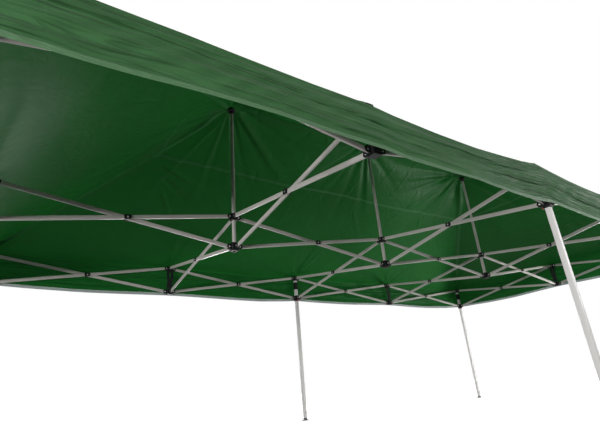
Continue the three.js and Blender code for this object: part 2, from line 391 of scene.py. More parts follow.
def quads_of(index: Array) -> Array:
    """The four corners of each cell of a grid of indices, one row each."""
    cells = [index[:-1, :-1], index[:-1, 1:], index[1:, 1:], index[1:, :-1]]
    return np.stack(cells, axis=-1).reshape(-1, 4)


def place_object(name: str, data: bpy.types.ID) -> bpy.types.Object:
    """Makes an object of some data, at the origin, and links it to the scene.

    Args:
        name: The object's name.
        data: A mesh, a camera or a light.

    Returns:
        The object.
    """
    piece = bpy.data.objects.new(name, data)
    bpy.context.scene.collection.objects.link(piece)
    return piece


def lay_cloth(data: bpy.types.Mesh, cloth: Array) -> None:
    """Writes each vertex's place on the cloth to the UV layer that the weave reads.

    Args:
        data: The mesh.
        cloth: One row for each vertex, in metres.
    """
    corners = np.zeros(len(data.loops), int)
    data.loops.foreach_get("vertex_index", corners)
    data.uv_layers.new(name="cloth").data.foreach_set("uv", cloth[corners].astype(np.float32).ravel())


class Shell:
    """Collects patches of surface and makes one mesh object of them."""

    def __init__(self) -> None:
        """Starts empty."""
        self.points: list[Array] = []
        self.faces: list[list[int]] = []
        self.finishes: list[int] = []
        self.count = 0

    def _take(self, points: Array) -> int:
        """Keeps points and returns the index of the first.

        Args:
            points: One row each.

        Returns:
            Index of the first point.
        """
        start = self.count
        self.points.append(points.reshape(-1, 3))
        self.count += len(self.points[-1])
        return start

    def grid(self, points: Array, wrap_u: bool = False, wrap_v: bool = False, finish: int = 0) -> "Shell":
        """Adds a grid of points with a face in each cell.

        Args:
            points: Shaped (rows, columns, 3); faces look along (column step) x (row step).
            wrap_u: Joins the last row to the first.
            wrap_v: Joins the last column to the first.
            finish: Material index.

        Returns:
            This shell.
        """
        rows, columns = points.shape[:2]
        index = self._take(points) + np.arange(rows * columns).reshape(rows, columns)
        index = np.concatenate([index, index[:1]], axis=0) if wrap_u else index
        index = np.concatenate([index, index[:, :1]], axis=1) if wrap_v else index
        quads = quads_of(index)
        self.faces.extend(quads.tolist())
        self.finishes.extend([finish] * len(quads))
        return self

    def polygon(self, points: Array, finish: int = 0) -> "Shell":
        """Adds one flat face round the points given.

        Args:
            points: One row each.
            finish: Material index.

        Returns:
            This shell.
        """
        start = self._take(points)
        self.faces.append(list(range(start, start + len(points))))
        self.finishes.append(finish)
        return self

    def column(self, outline: Array, heights: Profile, place: Array, basis: Array,
               finish: int = 0) -> "Shell":
        """Adds a closed solid: an outline drawn at several heights, each shrunk by its own inset.

        A point is place + basis x (outline moved towards its middle by the inset, height).

        Args:
            outline: Anticlockwise points, one row each.
            heights: Pairs of height and inset, from the bottom up.
            place: The origin of the outline.
            basis: Columns are the outline's two axes and the height's axis.
            finish: Material index.

        Returns:
            This shell.
        """
        reach = np.abs(outline).max(axis=0)
        rings = rings_at([(outline * (1 - inset / reach), height) for height, inset in heights])
        rings = rings @ np.asarray(basis, float).T + np.asarray(place, float)
        self.grid(rings, wrap_v=True, finish=finish)
        self.polygon(rings[0][::-1], finish)
        return self.polygon(rings[-1], finish)

    def ring(self, outer: Array, inner: Array, low: float, high: float, chamfer: float, place: Array,
             finish: int = 0) -> "Shell":
        """Adds an upright sleeve between two outlines of equally many points, its outer edges chamfered.

        Args:
            outer: Outer outline.
            inner: Inner outline.
            low: Lower height.
            high: Upper height.
            chamfer: Size of the chamfers.
            place: The origin of the outlines.
            finish: Material index.

        Returns:
            This shell.
        """
        inset = 1 - chamfer / np.abs(outer).max()
        loops = [(outer * inset, low), (outer, low + chamfer), (outer, high - chamfer),
                 (outer * inset, high), (inner, high), (inner, low)]
        return self.grid(rings_at(loops) + np.asarray(place, float), wrap_u=True, wrap_v=True, finish=finish)

    def make(self, name: str, finishes: list[bpy.types.Material], sharp: float = 35.0) -> bpy.types.Object:
        """Makes the mesh object.

        Args:
            name: The piece's name.
            finishes: Materials, in the order of the indices used.
            sharp: Edges steeper than this many degrees stay crisp.

        Returns:
            The object, at the origin.
        """
        points = np.concatenate(self.points)
        _, first, weld = np.unique(np.round(points, 6), axis=0, return_index=True, return_inverse=True)
        weld = weld.reshape(-1)
        faces = [[int(weld[v]) for v in face] for face in self.faces]
        mesh = bpy.data.meshes.new(name)
        mesh.from_pydata(points[first].tolist(), [], faces)
        for finish in finishes:
            mesh.materials.append(finish)
        mesh.polygons.foreach_set("material_index", self.finishes)
        mesh.polygons.foreach_set("use_smooth", [True] * len(faces))
        mesh.update()
        mesh.set_sharp_from_angle(angle=math.radians(sharp))
        return place_object(name, mesh)


def basis_of(first: Array, second: Array) -> Array:
    """A matrix whose columns are two unit vectors and their cross product."""
    return np.column_stack([first, second, np.cross(first, second)])


def inner_face(row: int) -> Array:
    """The axes of a leg's inner face: along it, up it and out of it towards the middle."""
    return basis_of(np.array([float(row), 0, 0]), UP)


# ---- finishes


class Nodes:
    """A short hand for building one material's or one group's node tree."""

    def __init__(self, tree: bpy.types.NodeTree) -> None:
        """Keeps the tree."""
        self.tree = tree

    def add(self, kind: str, **values: object) -> bpy.types.Node:
        """Adds a node. Keys that name an input set or link it, and the others set properties.

        Args:
            kind: The node's type name.
            values: Socket names with _ for spaces, or properties.

        Returns:
            The node.
        """
        node = self.tree.nodes.new(kind)
        for key, value in values.items():
            if hasattr(node, key):
                setattr(node, key, value)
        for key, value in values.items():
            if not hasattr(node, key):
                self.feed(node, key.replace("_", " "), value)
        return node

    def feed(self, node: bpy.types.Node, socket: str | int, value: object) -> None:
        """Links a socket, or sets its own value.

        Args:
            node: The node.
            socket: Name or index.
            value: A socket or a plain value.
        """
        target = node.inputs[socket]
        if isinstance(value, bpy.types.NodeSocket):
            self.tree.links.new(value, target)
        else:
            target.default_value = value

    def math(self, operation: str, first: object, second: object = 0.0) -> bpy.types.NodeSocket:
        """A Math node's result.

        Args:
            operation: What the node does.
            first: A socket or a value.
            second: A socket or a value.

        Returns:
            The result's socket.
        """
        node = self.add("ShaderNodeMath", operation=operation)
        self.feed(node, 0, first)
        self.feed(node, 1, second)
        return node.outputs[0]

    def mix(self, share: object, first: object, second: object) -> bpy.types.NodeSocket:
        """A colour between two colours.

        Args:
            share: Weight of the second.
            first: A socket or a value.
            second: A socket or a value.

        Returns:
            The colour's socket.
        """
        node = self.add("ShaderNodeMix", data_type="RGBA")
        for index, value in ((0, share), (6, first), (7, second)):
            self.feed(node, index, value)
        return node.outputs[2]

    def blend(self, share: object, first: object, second: object) -> bpy.types.NodeSocket:
        """A shader between two shaders.

        Args:
            share: Weight of the second.
            first: A socket or a value.
            second: A socket or a value.

        Returns:
            The shader's socket.
        """
        node = self.add("ShaderNodeMixShader")
        for index, value in enumerate((share, first, second)):
            self.feed(node, index, value)
        return node.outputs[0]

    def seen(self) -> bpy.types.NodeSocket:
        """1 for rays from the camera, through a clear surface or off a gloss, and 0 for all others.

        Returns:
            The result's socket.
        """
        path = self.add("ShaderNodeLightPath")
        seen = self.math("MAXIMUM", path.outputs["Is Camera Ray"], path.outputs["Is Transmission Ray"])
        return self.math("MAXIMUM", seen, path.outputs["Is Glossy Ray"])


def begin(name: str) -> tuple[bpy.types.Material, Nodes, bpy.types.Node]:
    """Starts a material.

    Args:
        name: The material's name.

    Returns:
        The material, its node builder and its Principled shader.
    """
    material = bpy.data.materials.new(name)
    material.use_nodes = True
    return material, Nodes(material.node_tree), material.node_tree.nodes["Principled BSDF"]


def group(name: str, inputs: dict[str, float | tuple],
          outputs: dict[str, str]) -> tuple[Nodes, bpy.types.Node, bpy.types.Node]:
    """Starts a shader node group with named inputs and outputs.

    Args:
        name: The group's name.
        inputs: Input names with their defaults; a tuple is a colour or, with three numbers, a vector.
        outputs: Output names with "Float", "Color" or "Vector".

    Returns:
        The node builder, the group's input node and its output node.
    """
    tree = bpy.data.node_groups.new(name, "ShaderNodeTree")
    for key, value in inputs.items():
        kind = "Float" if isinstance(value, float) else "Color" if len(value) == 4 else "Vector"
        socket = tree.interface.new_socket(name=key, in_out="INPUT", socket_type=f"NodeSocket{kind}")
        socket.default_value = value
    for key, kind in outputs.items():
        tree.interface.new_socket(name=key, in_out="OUTPUT", socket_type=f"NodeSocket{kind}")
    nodes = Nodes(tree)
    return nodes, nodes.add("NodeGroupInput"), nodes.add("NodeGroupOutput")


def tone_group() -> bpy.types.NodeTree:
    """Broad and fine variation of one colour, from two noises over the Object coordinates.

    Returns:
        The group.
    """
    nodes, given, out = group("tone_variation", {
        "Colour": (0.5, 0.5, 0.5, 1.0), "Broad Size": 2.0, "Fine Size": 40.0, "Strength": 0.1,
    }, {"Colour": "Color", "Mask": "Float"})
    place = nodes.add("ShaderNodeTexCoord").outputs["Object"]
    broad = nodes.add("ShaderNodeTexNoise", Vector=place, Scale=given.outputs["Broad Size"], Detail=3.0)
    fine = nodes.add("ShaderNodeTexNoise", Vector=place, Scale=given.outputs["Fine Size"], Detail=2.0)
    both = nodes.math("ADD", broad.outputs[0], nodes.math("MULTIPLY", fine.outputs[0], 0.4))
    spread = nodes.math("MULTIPLY", nodes.math("SUBTRACT", both, 0.7), given.outputs["Strength"])
    bright = nodes.add("ShaderNodeHueSaturation", Color=given.outputs["Colour"],
                       Value=nodes.math("ADD", 1.0, nodes.math("MULTIPLY", spread, 2.0)))
    nodes.feed(out, "Colour", bright.outputs[0])
    nodes.feed(out, "Mask", both)
    return nodes.tree


def weave_group() -> bpy.types.NodeTree:
    """Plain weave: the product of two sine waves along the cloth's own UV, in metres.

    Returns:
        The group.
    """
    nodes, given, out = group("plain_weave", {"Threads": 900.0, "Depth": 1.0}, {"Height": "Float"})
    place = nodes.add("ShaderNodeUVMap", uv_map="cloth").outputs[0]
    parts = nodes.add("ShaderNodeSeparateXYZ", Vector=place)
    waves = [nodes.math("SINE", nodes.math("MULTIPLY", parts.outputs[k], given.outputs["Threads"]))
             for k in (0, 1)]
    height = nodes.math("MULTIPLY", nodes.math("MULTIPLY", *waves), given.outputs["Depth"])
    nodes.feed(out, "Height", height)
    return nodes.tree


def crinkle_group() -> bpy.types.NodeTree:
    """Sharp little creases: one less twice the distance of a noise from its middle, over stretched UVs.

    Returns:
        The group.
    """
    nodes, given, out = group("cloth_crinkle", {
        "Stretch": (1.0, 1.0, 1.0), "Size": 6.0, "Depth": 1.0,
    }, {"Height": "Float"})
    place = nodes.add("ShaderNodeUVMap", uv_map="cloth").outputs[0]
    drawn = nodes.add("ShaderNodeVectorMath", operation="MULTIPLY")
    nodes.feed(drawn, 0, place)
    nodes.feed(drawn, 1, given.outputs["Stretch"])
    total = None
    for scale, weight, bend in ((1.0, 1.0, 1.2), (2.7, 0.45, 0.8)):
        noise = nodes.add("ShaderNodeTexNoise", Vector=drawn.outputs[0], Detail=2.0, Distortion=bend,
                          Scale=nodes.math("MULTIPLY", given.outputs["Size"], scale))
        off = nodes.math("ABSOLUTE", nodes.math("SUBTRACT", noise.outputs[0], 0.5))
        ridge = nodes.math("POWER", nodes.math("SUBTRACT", 1.0, nodes.math("MULTIPLY", off, 2.0)), 3.0)
        part = nodes.math("MULTIPLY", ridge, weight)
        total = part if total is None else nodes.math("ADD", total, part)
    nodes.feed(out, "Height", nodes.math("MULTIPLY", total, given.outputs["Depth"]))
    return nodes.tree


def grain_group() -> bpy.types.NodeTree:
    """Fine cast or sprayed grain over the Object coordinates.

    Returns:
        The group.
    """
    nodes, given, out = group("surface_grain", {"Size": 700.0, "Depth": 0.5}, {"Height": "Float"})
    place = nodes.add("ShaderNodeTexCoord").outputs["Object"]
    noise = nodes.add("ShaderNodeTexNoise", Vector=place, Scale=given.outputs["Size"], Detail=2.0)
    nodes.feed(out, "Height", nodes.math("MULTIPLY", noise.outputs[0], given.outputs["Depth"]))
    return nodes.tree


@dataclass(frozen=True)
class Finish:
    """A painted, moulded or plated surface."""

    name: str
    colour: tuple[float, float, float]
    roughness: float
    metallic: float = 0.0
    spread: float = 0.12
    broad: float = 2.0
    fine: float = 60.0
    grain: float = 0.4
    grain_size: float = 900.0
    bump: float = 0.00015
    specular: float = 0.5

    def make(self, groups: dict[str, bpy.types.NodeTree]) -> bpy.types.Material:
        """Builds the material from the shared groups.

        Args:
            groups: The shared node groups.

        Returns:
            The material.
        """
        material, nodes, shader = begin(self.name)
        tone = nodes.add("ShaderNodeGroup", node_tree=groups["tone"], Broad_Size=self.broad,
                         Fine_Size=self.fine, Strength=self.spread)
        tone.inputs["Colour"].default_value = (*self.colour, 1.0)
        grain = nodes.add("ShaderNodeGroup", node_tree=groups["grain"], Size=self.grain_size,
                          Depth=self.grain)
        bump = nodes.add("ShaderNodeBump", Height=grain.outputs[0], Distance=self.bump, Strength=0.5)
        nodes.feed(shader, "Base Color", tone.outputs["Colour"])
        rough = nodes.math("ADD", self.roughness - 0.06, nodes.math("MULTIPLY", tone.outputs["Mask"], 0.09))
        nodes.feed(shader, "Roughness", rough)
        nodes.feed(shader, "Normal", bump.outputs[0])
        shader.inputs["Metallic"].default_value = self.metallic
        shader.inputs["Specular IOR Level"].default_value = self.specular
        return material


@dataclass(frozen=True)
class ClothFinish:
    """Coated woven polyester: an outside colour, an inside colour that is painted shade where it is set
    darker, and a little light through.
    """

    name: str
    outside: tuple[float, float, float]
    inside: tuple[float, float, float]
    roughness: float
    sheen: float
    through: float
    threads: float = 4200.0
    bump: float = 0.0002
    specular: float = 0.5
    crease: float = 0.0
    stretch: tuple[float, float, float] = (1.0, 1.0, 1.0)
    crease_size: float = 6.0

    def make(self, groups: dict[str, bpy.types.NodeTree]) -> bpy.types.Material:
        """Builds the material from the shared groups.

        Args:
            groups: The shared node groups.

        Returns:
            The material.
        """
        material, nodes, shader = begin(self.name)
        output = material.node_tree.nodes["Material Output"]
        lit_and_painted_shade_tones = [nodes.add("ShaderNodeGroup", node_tree=groups["tone"], Broad_Size=0.9, Fine_Size=14.0,
                           Strength=0.14) for _ in range(2)]
        for tone, colour in zip(lit_and_painted_shade_tones, (self.outside, self.inside), strict=True):
            tone.inputs["Colour"].default_value = (*colour, 1.0)
        # The backface takes the inside colour, which is painted shade where it is darker than the outside
        # colour.
        back = nodes.add("ShaderNodeNewGeometry").outputs["Backfacing"]
        colour = nodes.mix(back, lit_and_painted_shade_tones[0].outputs["Colour"], lit_and_painted_shade_tones[1].outputs["Colour"])
        weave = nodes.add("ShaderNodeGroup", node_tree=groups["weave"], Threads=self.threads)
        bump = nodes.add("ShaderNodeBump", Height=weave.outputs[0], Distance=self.bump, Strength=0.35)
        if self.crease > 0:
            crinkle = nodes.add("ShaderNodeGroup", node_tree=groups["crinkle"], Size=self.crease_size,
                                Stretch=self.stretch)
            creased = nodes.add("ShaderNodeBump", Height=crinkle.outputs[0], Distance=self.crease,
                                Strength=1.0)
            nodes.feed(bump, "Normal", creased.outputs[0])
        nodes.feed(shader, "Base Color", colour)
        spread = nodes.math("MULTIPLY", lit_and_painted_shade_tones[0].outputs["Mask"], 0.08)
        nodes.feed(shader, "Roughness", nodes.math("ADD", self.roughness - 0.05, spread))
        nodes.feed(shader, "Normal", bump.outputs[0])
        shader.inputs["Specular IOR Level"].default_value = self.specular
        shader.inputs["Sheen Weight"].default_value = self.sheen
        shader.inputs["Sheen Roughness"].default_value = 0.4
        glow = nodes.add("ShaderNodeBsdfTranslucent", Color=colour)
        nodes.feed(output, "Surface", nodes.blend(self.through, shader.outputs[0], glow.outputs[0]))
        return material


FINISHES = {
    "bar": Finish("bar_paint", (0.36, 0.342, 0.32), 0.46, spread=0.08, specular=0.35),
    "leg": Finish("leg_paint", (0.46, 0.448, 0.438), 0.42, spread=0.06, specular=0.35),
    "tube_inside": Finish("bare_tube", (0.20, 0.20, 0.20), 0.55, metallic=0.7),
    "nylon": Finish("black_nylon", (0.0045, 0.0045, 0.005), 0.55, spread=0.2, grain=0.8, bump=0.0003,
                    specular=0.12),
    "button": Finish("red_nylon", (0.36, 0.012, 0.022), 0.40, spread=0.1),
    "rivet": Finish("zinc_rivet", (0.52, 0.52, 0.50), 0.32, metallic=0.9, spread=0.15),
    "foot": Finish("foot_plate", (0.055, 0.055, 0.056), 0.5, metallic=0.2, spread=0.3),
}
# Canopy and valance: the inside colours are painted shade, darker and more saturated than the outside
# colours.
CLOTHS = {
    "canopy": ClothFinish("canopy_fabric", (0.034, 0.100, 0.036), (0.0070, 0.084, 0.0125), 0.42, 0.0, 0.18,
                          specular=0.06, crease=0.0025, crease_size=3.2),
    "valance": ClothFinish("valance_fabric", (0.036, 0.104, 0.038), (0.0055, 0.062, 0.0100), 0.45, 0.02, 0.15,
                           specular=0.05, crease=0.026, stretch=(0.17, 2.4, 1.0), crease_size=2.7),
    "hem": ClothFinish("hem_tape", (0.037, 0.105, 0.039), (0.20, 0.23, 0.22), 0.60, 0.02, 0.10,
                       threads=2600.0, crease=0.004, stretch=(0.6, 3.0, 1.0)),
    # The seam tape's inside colour is painted light: set lighter than the canopy's inside colour to make up
    # for the shade the tape lies in under the cloth.
    "seam": ClothFinish("seam_tape", (0.034, 0.115, 0.042), (0.014, 0.120, 0.024), 0.50, 0.0, 0.18,
                        specular=0.15),
    "webbing": ClothFinish("black_webbing", (0.006, 0.006, 0.007), (0.006, 0.006, 0.007), 0.75, 0.0, 0.0,
                           threads=2000.0, bump=0.0004, specular=0.12),
}


def dress() -> dict[str, bpy.types.Material]:
    """Builds the shared groups once and every material from them.

    Returns:
        The materials by key.
    """
    groups = {"tone": tone_group(), "weave": weave_group(), "crinkle": crinkle_group(),
              "grain": grain_group()}
    return {key: finish.make(groups) for key, finish in {**FINISHES, **CLOTHS}.items()}


# ---- truss


@dataclass
class Truss:
    """The forty-four scissor bars, their pivot plates and rivets."""

    grid: Grid
    carriers: Carriers
    paint: dict[str, bpy.types.Material]
    wall: float = 0.0008
    corner: float = 0.0025
    overhang: float = 0.010
    plate_long: float = 0.044
    plate_wide: float = 0.032
    plate_thick: float = 0.006
    plate_corner: float = 0.005
    rivet_r: float = 0.0055

    def bays(self) -> list[tuple[Bay, dict[Lean, str] | str]]:
        """Every bay, with the node of each of its bars, or the one node that holds both.

        Returns:
            Pairs of a bay and its nodes.
        """
        found: list[tuple[Bay, dict[Lean, str] | str]] = []
        for row in EDGE_ROWS:
            found += [(Bay(column, row, Way.LONG), f"side_crossing_{PLACES[row]}_{column + 1}")
                      for column in range(4)]
        found += [(Bay(0, 0, Way.LONG), "ridge_crossing_left"), (Bay(3, 0, Way.LONG), "ridge_crossing_right")]
        for column in (1, 2):
            nodes = {lean: f"long_bar_{lean.name.lower()}_{COLUMNS[column]}" for lean in Lean}
            found.append((Bay(column, 0, Way.LONG), nodes))
        for column, row, side in [(c, r, s) for c in range(5) for r, s in ((-1, "near"), (0, "far"))]:
            bay = Bay(column, row, Way.CROSS)
            if column in (1, 3):
                found.append((bay, f"cross_crossing_{COLUMNS[column]}_{side}"))
            else:
                tail = f"{COLUMNS[column]}_{side}"
                found.append((bay, {lean: f"cross_bar_{lean.name.lower()}_{tail}" for lean in Lean}))
        return found

    def bar(self, name: str, bay: Bay, lean: Lean) -> bpy.types.Object:
        """One tube with rounded corners, its pivot plate on the outer face and the rivet's head.

        Args:
            name: The piece's name.
            bay: Its bay.
            lean: Which of the bay's bars.

        Returns:
            The piece.
        """
        start, end = bay.ends(self.grid, lean)
        along = (end - start) / np.linalg.norm(end - start)
        across = bay.way.across * (1 if lean is Lean.FALLING else -1)
        basis = basis_of(across, np.cross(along, across))
        if basis[:, 2] @ along < 0:
            basis = basis_of(across, -basis[:, 1])
        shell = Shell()
        outer = rounded_outline(self.grid.bar_thick, self.grid.bar_high, self.corner)
        inner = rounded_outline(self.grid.bar_thick - 2 * self.wall, self.grid.bar_high - 2 * self.wall,
                                self.corner - self.wall)
        low, high = -self.overhang, self.grid.bar_length + self.overhang
        outside = rings_at([(outer, low), (outer, high), (inner, high)])
        inside = rings_at([(inner, high), (inner, low), (outer, low)])
        shell.grid(outside @ basis.T + start, wrap_v=True)
        shell.grid(inside @ basis.T + start, wrap_v=True, finish=1)
        middle = start + along * self.grid.bar_length / 2 + across * self.grid.bar_thick / 2
        plate = rounded_outline(self.plate_long, self.plate_wide, self.plate_corner)
        flat = basis_of(along, np.cross(across, along))
        thick = self.plate_thick
        shell.column(plate, [(0, 0), (thick - 0.001, 0), (thick, 0.001)], middle, flat, finish=2)
        head = circle_outline(self.rivet_r, 14)
        shell.column(head, [(0, 0), (0.0012, 0), (0.002, 0.0018)], middle + across * thick, flat, finish=3)
        paint = [self.paint[key] for key in ("bar", "tube_inside", "nylon", "rivet")]
        return shell.make(name, paint)

    def build(self) -> int:
        """Makes every bar, rides it and stands it for its node.

        Returns:
            The number of bars.
        """
        count = 0
        for bay, nodes in self.bays():
            for lean in Lean:
                joined = isinstance(nodes, str)
                own = f"{nodes}_{lean.name.lower()}_bar" if joined else nodes[lean].replace("_bar_", "_tube_")
                piece = self.bar(own, bay, lean)
                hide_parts(nodes if joined else nodes[lean])
                if joined:
                    self.carriers.take_bar(piece, bay, lean)
                else:
                    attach(piece, nodes[lean])
                count += 1
        return count


# ---- connectors


@dataclass
class Connectors:
    """The black nylon connectors: leg tops, sliders, hubs and tees, with their pins."""

    grid: Grid
    carriers: Carriers
    paint: dict[str, bpy.types.Material]
    cheek: float = 0.0036
    cheek_gap: float = 0.0004
    cheek_root: float = 0.038
    web_end: float = 0.0262
    cheek_tip: float = 0.0185
    pin_r: float = 0.003
    head_r: float = 0.0062
    sleeve_half: float = 0.0220
    hub_half: float = 0.0235
    corner: float = 0.005
    leg_half: float = 0.0164
    pole_r: float = 0.0144
    edge: float = 0.0015
    leg_top_span: tuple[float, float] = (-0.026, 0.019)
    slider_span: tuple[float, float] = (-0.038, 0.024)
    upper_hub_span: tuple[float, float] = (-0.026, 0.024)
    lower_hub_span: tuple[float, float] = (-0.034, 0.028)
    tee_span: tuple[float, float] = (-0.028, 0.020)

    @property
    def leg_bore(self) -> Array:
        """The outline of the hole that a leg stands in or runs through."""
        return rounded_outline(2 * self.leg_half, 2 * self.leg_half, 0.003, steps=5)

    def arm(self, shell: Shell, centre: Array, out: Array, side: float, root: float) -> None:
        """Two cheeks that taper to a round end, with the pin and its heads.

        A cheek's outline is its straight root, then the two tangents to the end's circle, then the arc.

        Args:
            shell: Where the surfaces go.
            centre: The column's axis at pin height.
            out: Unit vector from the column to the pin.
            side: The bar's offset from the bay's centre plane.
            root: Half width of the block that the arm grows from.
        """
        across = np.abs(out[[1, 0, 2]])
        pin = centre + out * self.grid.reach + across * side
        arc = np.linspace(-math.pi / 2 + 0.25, math.pi / 2 - 0.25, 9)
        tip = np.column_stack([self.grid.reach + self.cheek_tip * np.cos(arc), self.cheek_tip * np.sin(arc)])
        half = self.cheek_root / 2
        outline = np.vstack([[root - 0.001, -half], [root + 0.004, -half], tip, [root + 0.004, half],
                             [root - 0.001, half]])
        basis = basis_of(out, UP)
        sense = basis[:, 2] @ across
        depth = self.grid.bar_thick / 2 + self.cheek_gap + self.cheek - 0.0002
        web = rounded_outline(self.web_end - root + 0.002, self.cheek_root - 0.001, 0.002)
        shell.column(web, chamfered(-depth, depth, 0.001),
                     centre + across * side + out * (self.web_end + root - 0.002) / 2, basis)
        mid = np.array([outline[:, 0].mean(), 0.0])
        for way in (-1, 1):
            near = (self.grid.bar_thick / 2 + self.cheek_gap) * way
            far = near + way * self.cheek
            low, high = sorted((near * sense, far * sense))
            place = centre + across * side + out * mid[0]
            shell.column(outline - mid, chamfered(low, high, 0.0006), place, basis)
            face = pin + across * far
            turn = basis_of(out, UP * way * sense)
            shell.column(circle_outline(self.head_r, 12), [(0, 0), (0.001, 0), (0.0022, 0.0022)], face, turn,
                         finish=1)
        reach = self.grid.bar_thick / 2 + self.cheek_gap + 0.001
        shell.column(circle_outline(self.pin_r, 10), [(-reach, 0), (reach, 0)], pin, basis, finish=1)

    def arms(self, shell: Shell, column: int, row: int, level: Level, root: float) -> None:
        """The arms of one connector, one for each bay that meets there.

        Args:
            shell: Where the surfaces go.
            column: 0 at the left to 4 at the right.
            row: -1 near, 0 middle, 1 far.
            level: Upper or lower.
            root: Half width of the block.
        """
        centre = self.grid.axis_of(column, row, level)
        ways = [(column < 4, Way.LONG, 1), (column > 0, Way.LONG, -1),
                (row < 1, Way.CROSS, 1), (row > -1, Way.CROSS, -1)]
        for there, way, sign in ways:
            if there:
                falls = (sign > 0) == (level is Level.UPPER)
                self.arm(shell, centre, way.along * sign, self.grid.side * (1 if falls else -1), root)

    def body(self, shell: Shell, centre: Array, half: float, low: float, high: float,
             bore: Array | None) -> None:
        """The block in the middle, with a bore where a leg or a pole passes.

        Args:
            shell: Where the surfaces go.
            centre: The column's axis at pin height.
            half: Half width.
            low: Lower height.
            high: Upper height.
            bore: Outline of the hole, or None.
        """
        outer = rounded_outline(2 * half, 2 * half, self.corner, steps=5)
        if bore is None:
            shell.column(outer, chamfered(low, high, self.edge), centre, np.eye(3))
        else:
            shell.ring(outer, bore, low, high, self.edge, centre)

    def leg_top(self, column: int, row: int) -> bpy.types.Object:
        """The cap over an outer leg's upper end, with a raised rim above its arms.

        Args:
            column: 0 at the left to 4 at the right.
            row: -1 near, 0 middle, 1 far.

        Returns:
            The piece.
        """
        centre = self.grid.axis_of(column, row, Level.UPPER)
        shell = Shell()
        self.body(shell, centre, self.sleeve_half, *self.leg_top_span, self.leg_bore)
        lid = rounded_outline(2 * self.sleeve_half - 0.002, 2 * self.sleeve_half - 0.002, self.corner)
        shell.column(lid, [(0.0185, 0), (0.022, 0), (0.0235, 0.0025)], centre, np.eye(3))
        self.arms(shell, column, row, Level.UPPER, self.sleeve_half)
        return self.finish(shell, f"leg_top_connector_{column}_{PLACES[row]}")

    def slider(self, column: int, row: int) -> bpy.types.Object:
        """The sleeve that runs on a leg, with its catch housing and red button on the inner face.

        Args:
            column: 0 at the left to 4 at the right.
            row: -1 near, 0 middle, 1 far.

        Returns:
            The piece.
        """
        centre = self.grid.axis_of(column, row, Level.LOWER)
        shell = Shell()
        self.body(shell, centre, self.sleeve_half, *self.slider_span, self.leg_bore)
        self.arms(shell, column, row, Level.LOWER, self.sleeve_half)
        inward = np.array([0.0, -row, 0.0])
        basis = inner_face(row)
        face = centre + inward * (self.sleeve_half - 0.001)
        housing = rounded_outline(0.021, 0.022, 0.004)
        place = face + np.array([0, 0, -0.026])
        shell.column(housing, [(0, 0), (0.006, 0), (0.0085, 0.002)], place, basis)
        button = rounded_outline(0.014, 0.012, 0.003)
        stations = [(0.007, 0), (0.0125, 0), (0.0138, 0.0015)]
        shell.column(button, stations, place + np.array([0, 0, -0.004]), basis, finish=2)
        return self.finish(shell, f"leg_slider_{column}_{PLACES[row]}")

    def hub(self, column: int, level: Level) -> bpy.types.Object:
        """A hub on a peak pole: an upper one slides on the pole, a lower one holds its foot.

        Args:
            column: 0 at the left to 4 at the right.
            level: Upper or lower.

        Returns:
            The piece.
        """
        centre = self.grid.axis_of(column, 0, level)
        shell = Shell()
        count = len(rounded_outline(1, 1, 0.1, steps=5))
        start = math.pi / 4 - math.pi / count * (count // 4 - 1)
        angles = start - math.pi / 4 + np.arange(count) * 2 * math.pi / count
        bore = self.pole_r * np.stack([np.cos(angles), np.sin(angles)], axis=-1)
        span = self.lower_hub_span if level is Level.LOWER else self.upper_hub_span
        self.body(shell, centre, self.hub_half, *span, bore)
        if level is Level.LOWER:
            plug = circle_outline(self.pole_r - 0.0002, 24)
            shell.column(plug, [(-0.0195, 0.001), (-0.018, 0), (-0.012, 0)], centre, np.eye(3))
        self.arms(shell, column, 0, level, self.hub_half)
        return self.finish(shell, f"{level.name.lower()}_hub_body_{column}")

    def tee(self, column: int, row: int, level: Level) -> bpy.types.Object:
        """A connector at the truss's edge where no leg or pole stands.

        Args:
            column: 0 at the left to 4 at the right.
            row: -1 near, 0 middle, 1 far.
            level: Upper or lower.

        Returns:
            The piece.
        """
        centre = self.grid.axis_of(column, row, level)
        shell = Shell()
        self.body(shell, centre, self.hub_half, *self.tee_span, None)
        self.arms(shell, column, row, level, self.hub_half)
        return self.finish(shell, f"{level.name.lower()}_tee_{column}_{PLACES[row]}")

    def finish(self, shell: Shell, name: str) -> bpy.types.Object:
        """Makes a connector in its three materials."""
        paint = [self.paint[key] for key in ("nylon", "rivet", "button")]
        return shell.make(name, paint)

    def build(self) -> int:
        """Makes all thirty connectors and rides each one.

        Returns:
            The number of connectors.
        """
        for column, row in [(c, r) for c in LEG_COLUMNS for r in EDGE_ROWS]:
            tail = leg_tail(column, row)
            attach(self.leg_top(column, row), f"outer_leg_{tail}")
            slider = self.slider(column, row)
            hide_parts(f"slider_{tail}")
            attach(slider, f"slider_{tail}")
        for column in POLE_COLUMNS:
            place = COLUMNS[column]
            upper, lower = self.hub(column, Level.UPPER), self.hub(column, Level.LOWER)
            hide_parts(f"upper_hub_{place}")
            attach(upper, "roof" if column == 2 else f"upper_hub_{place}")
            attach(lower, f"lower_hub_{place}")
        for column, place in ((0, "left"), (4, "right")):
            upper = self.tee(column, 0, Level.UPPER)
            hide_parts(f"upper_connector_{place}")
            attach(upper, f"upper_connector_{place}")
            self.carriers.take_connector(self.tee(column, 0, Level.LOWER), column, 0, Level.LOWER)
        for column, row, level in [(c, r, v) for c in (1, 3) for r in EDGE_ROWS for v in Level]:
            self.carriers.take_connector(self.tee(column, row, level), column, row, level)
        return 30


# ---- legs and poles


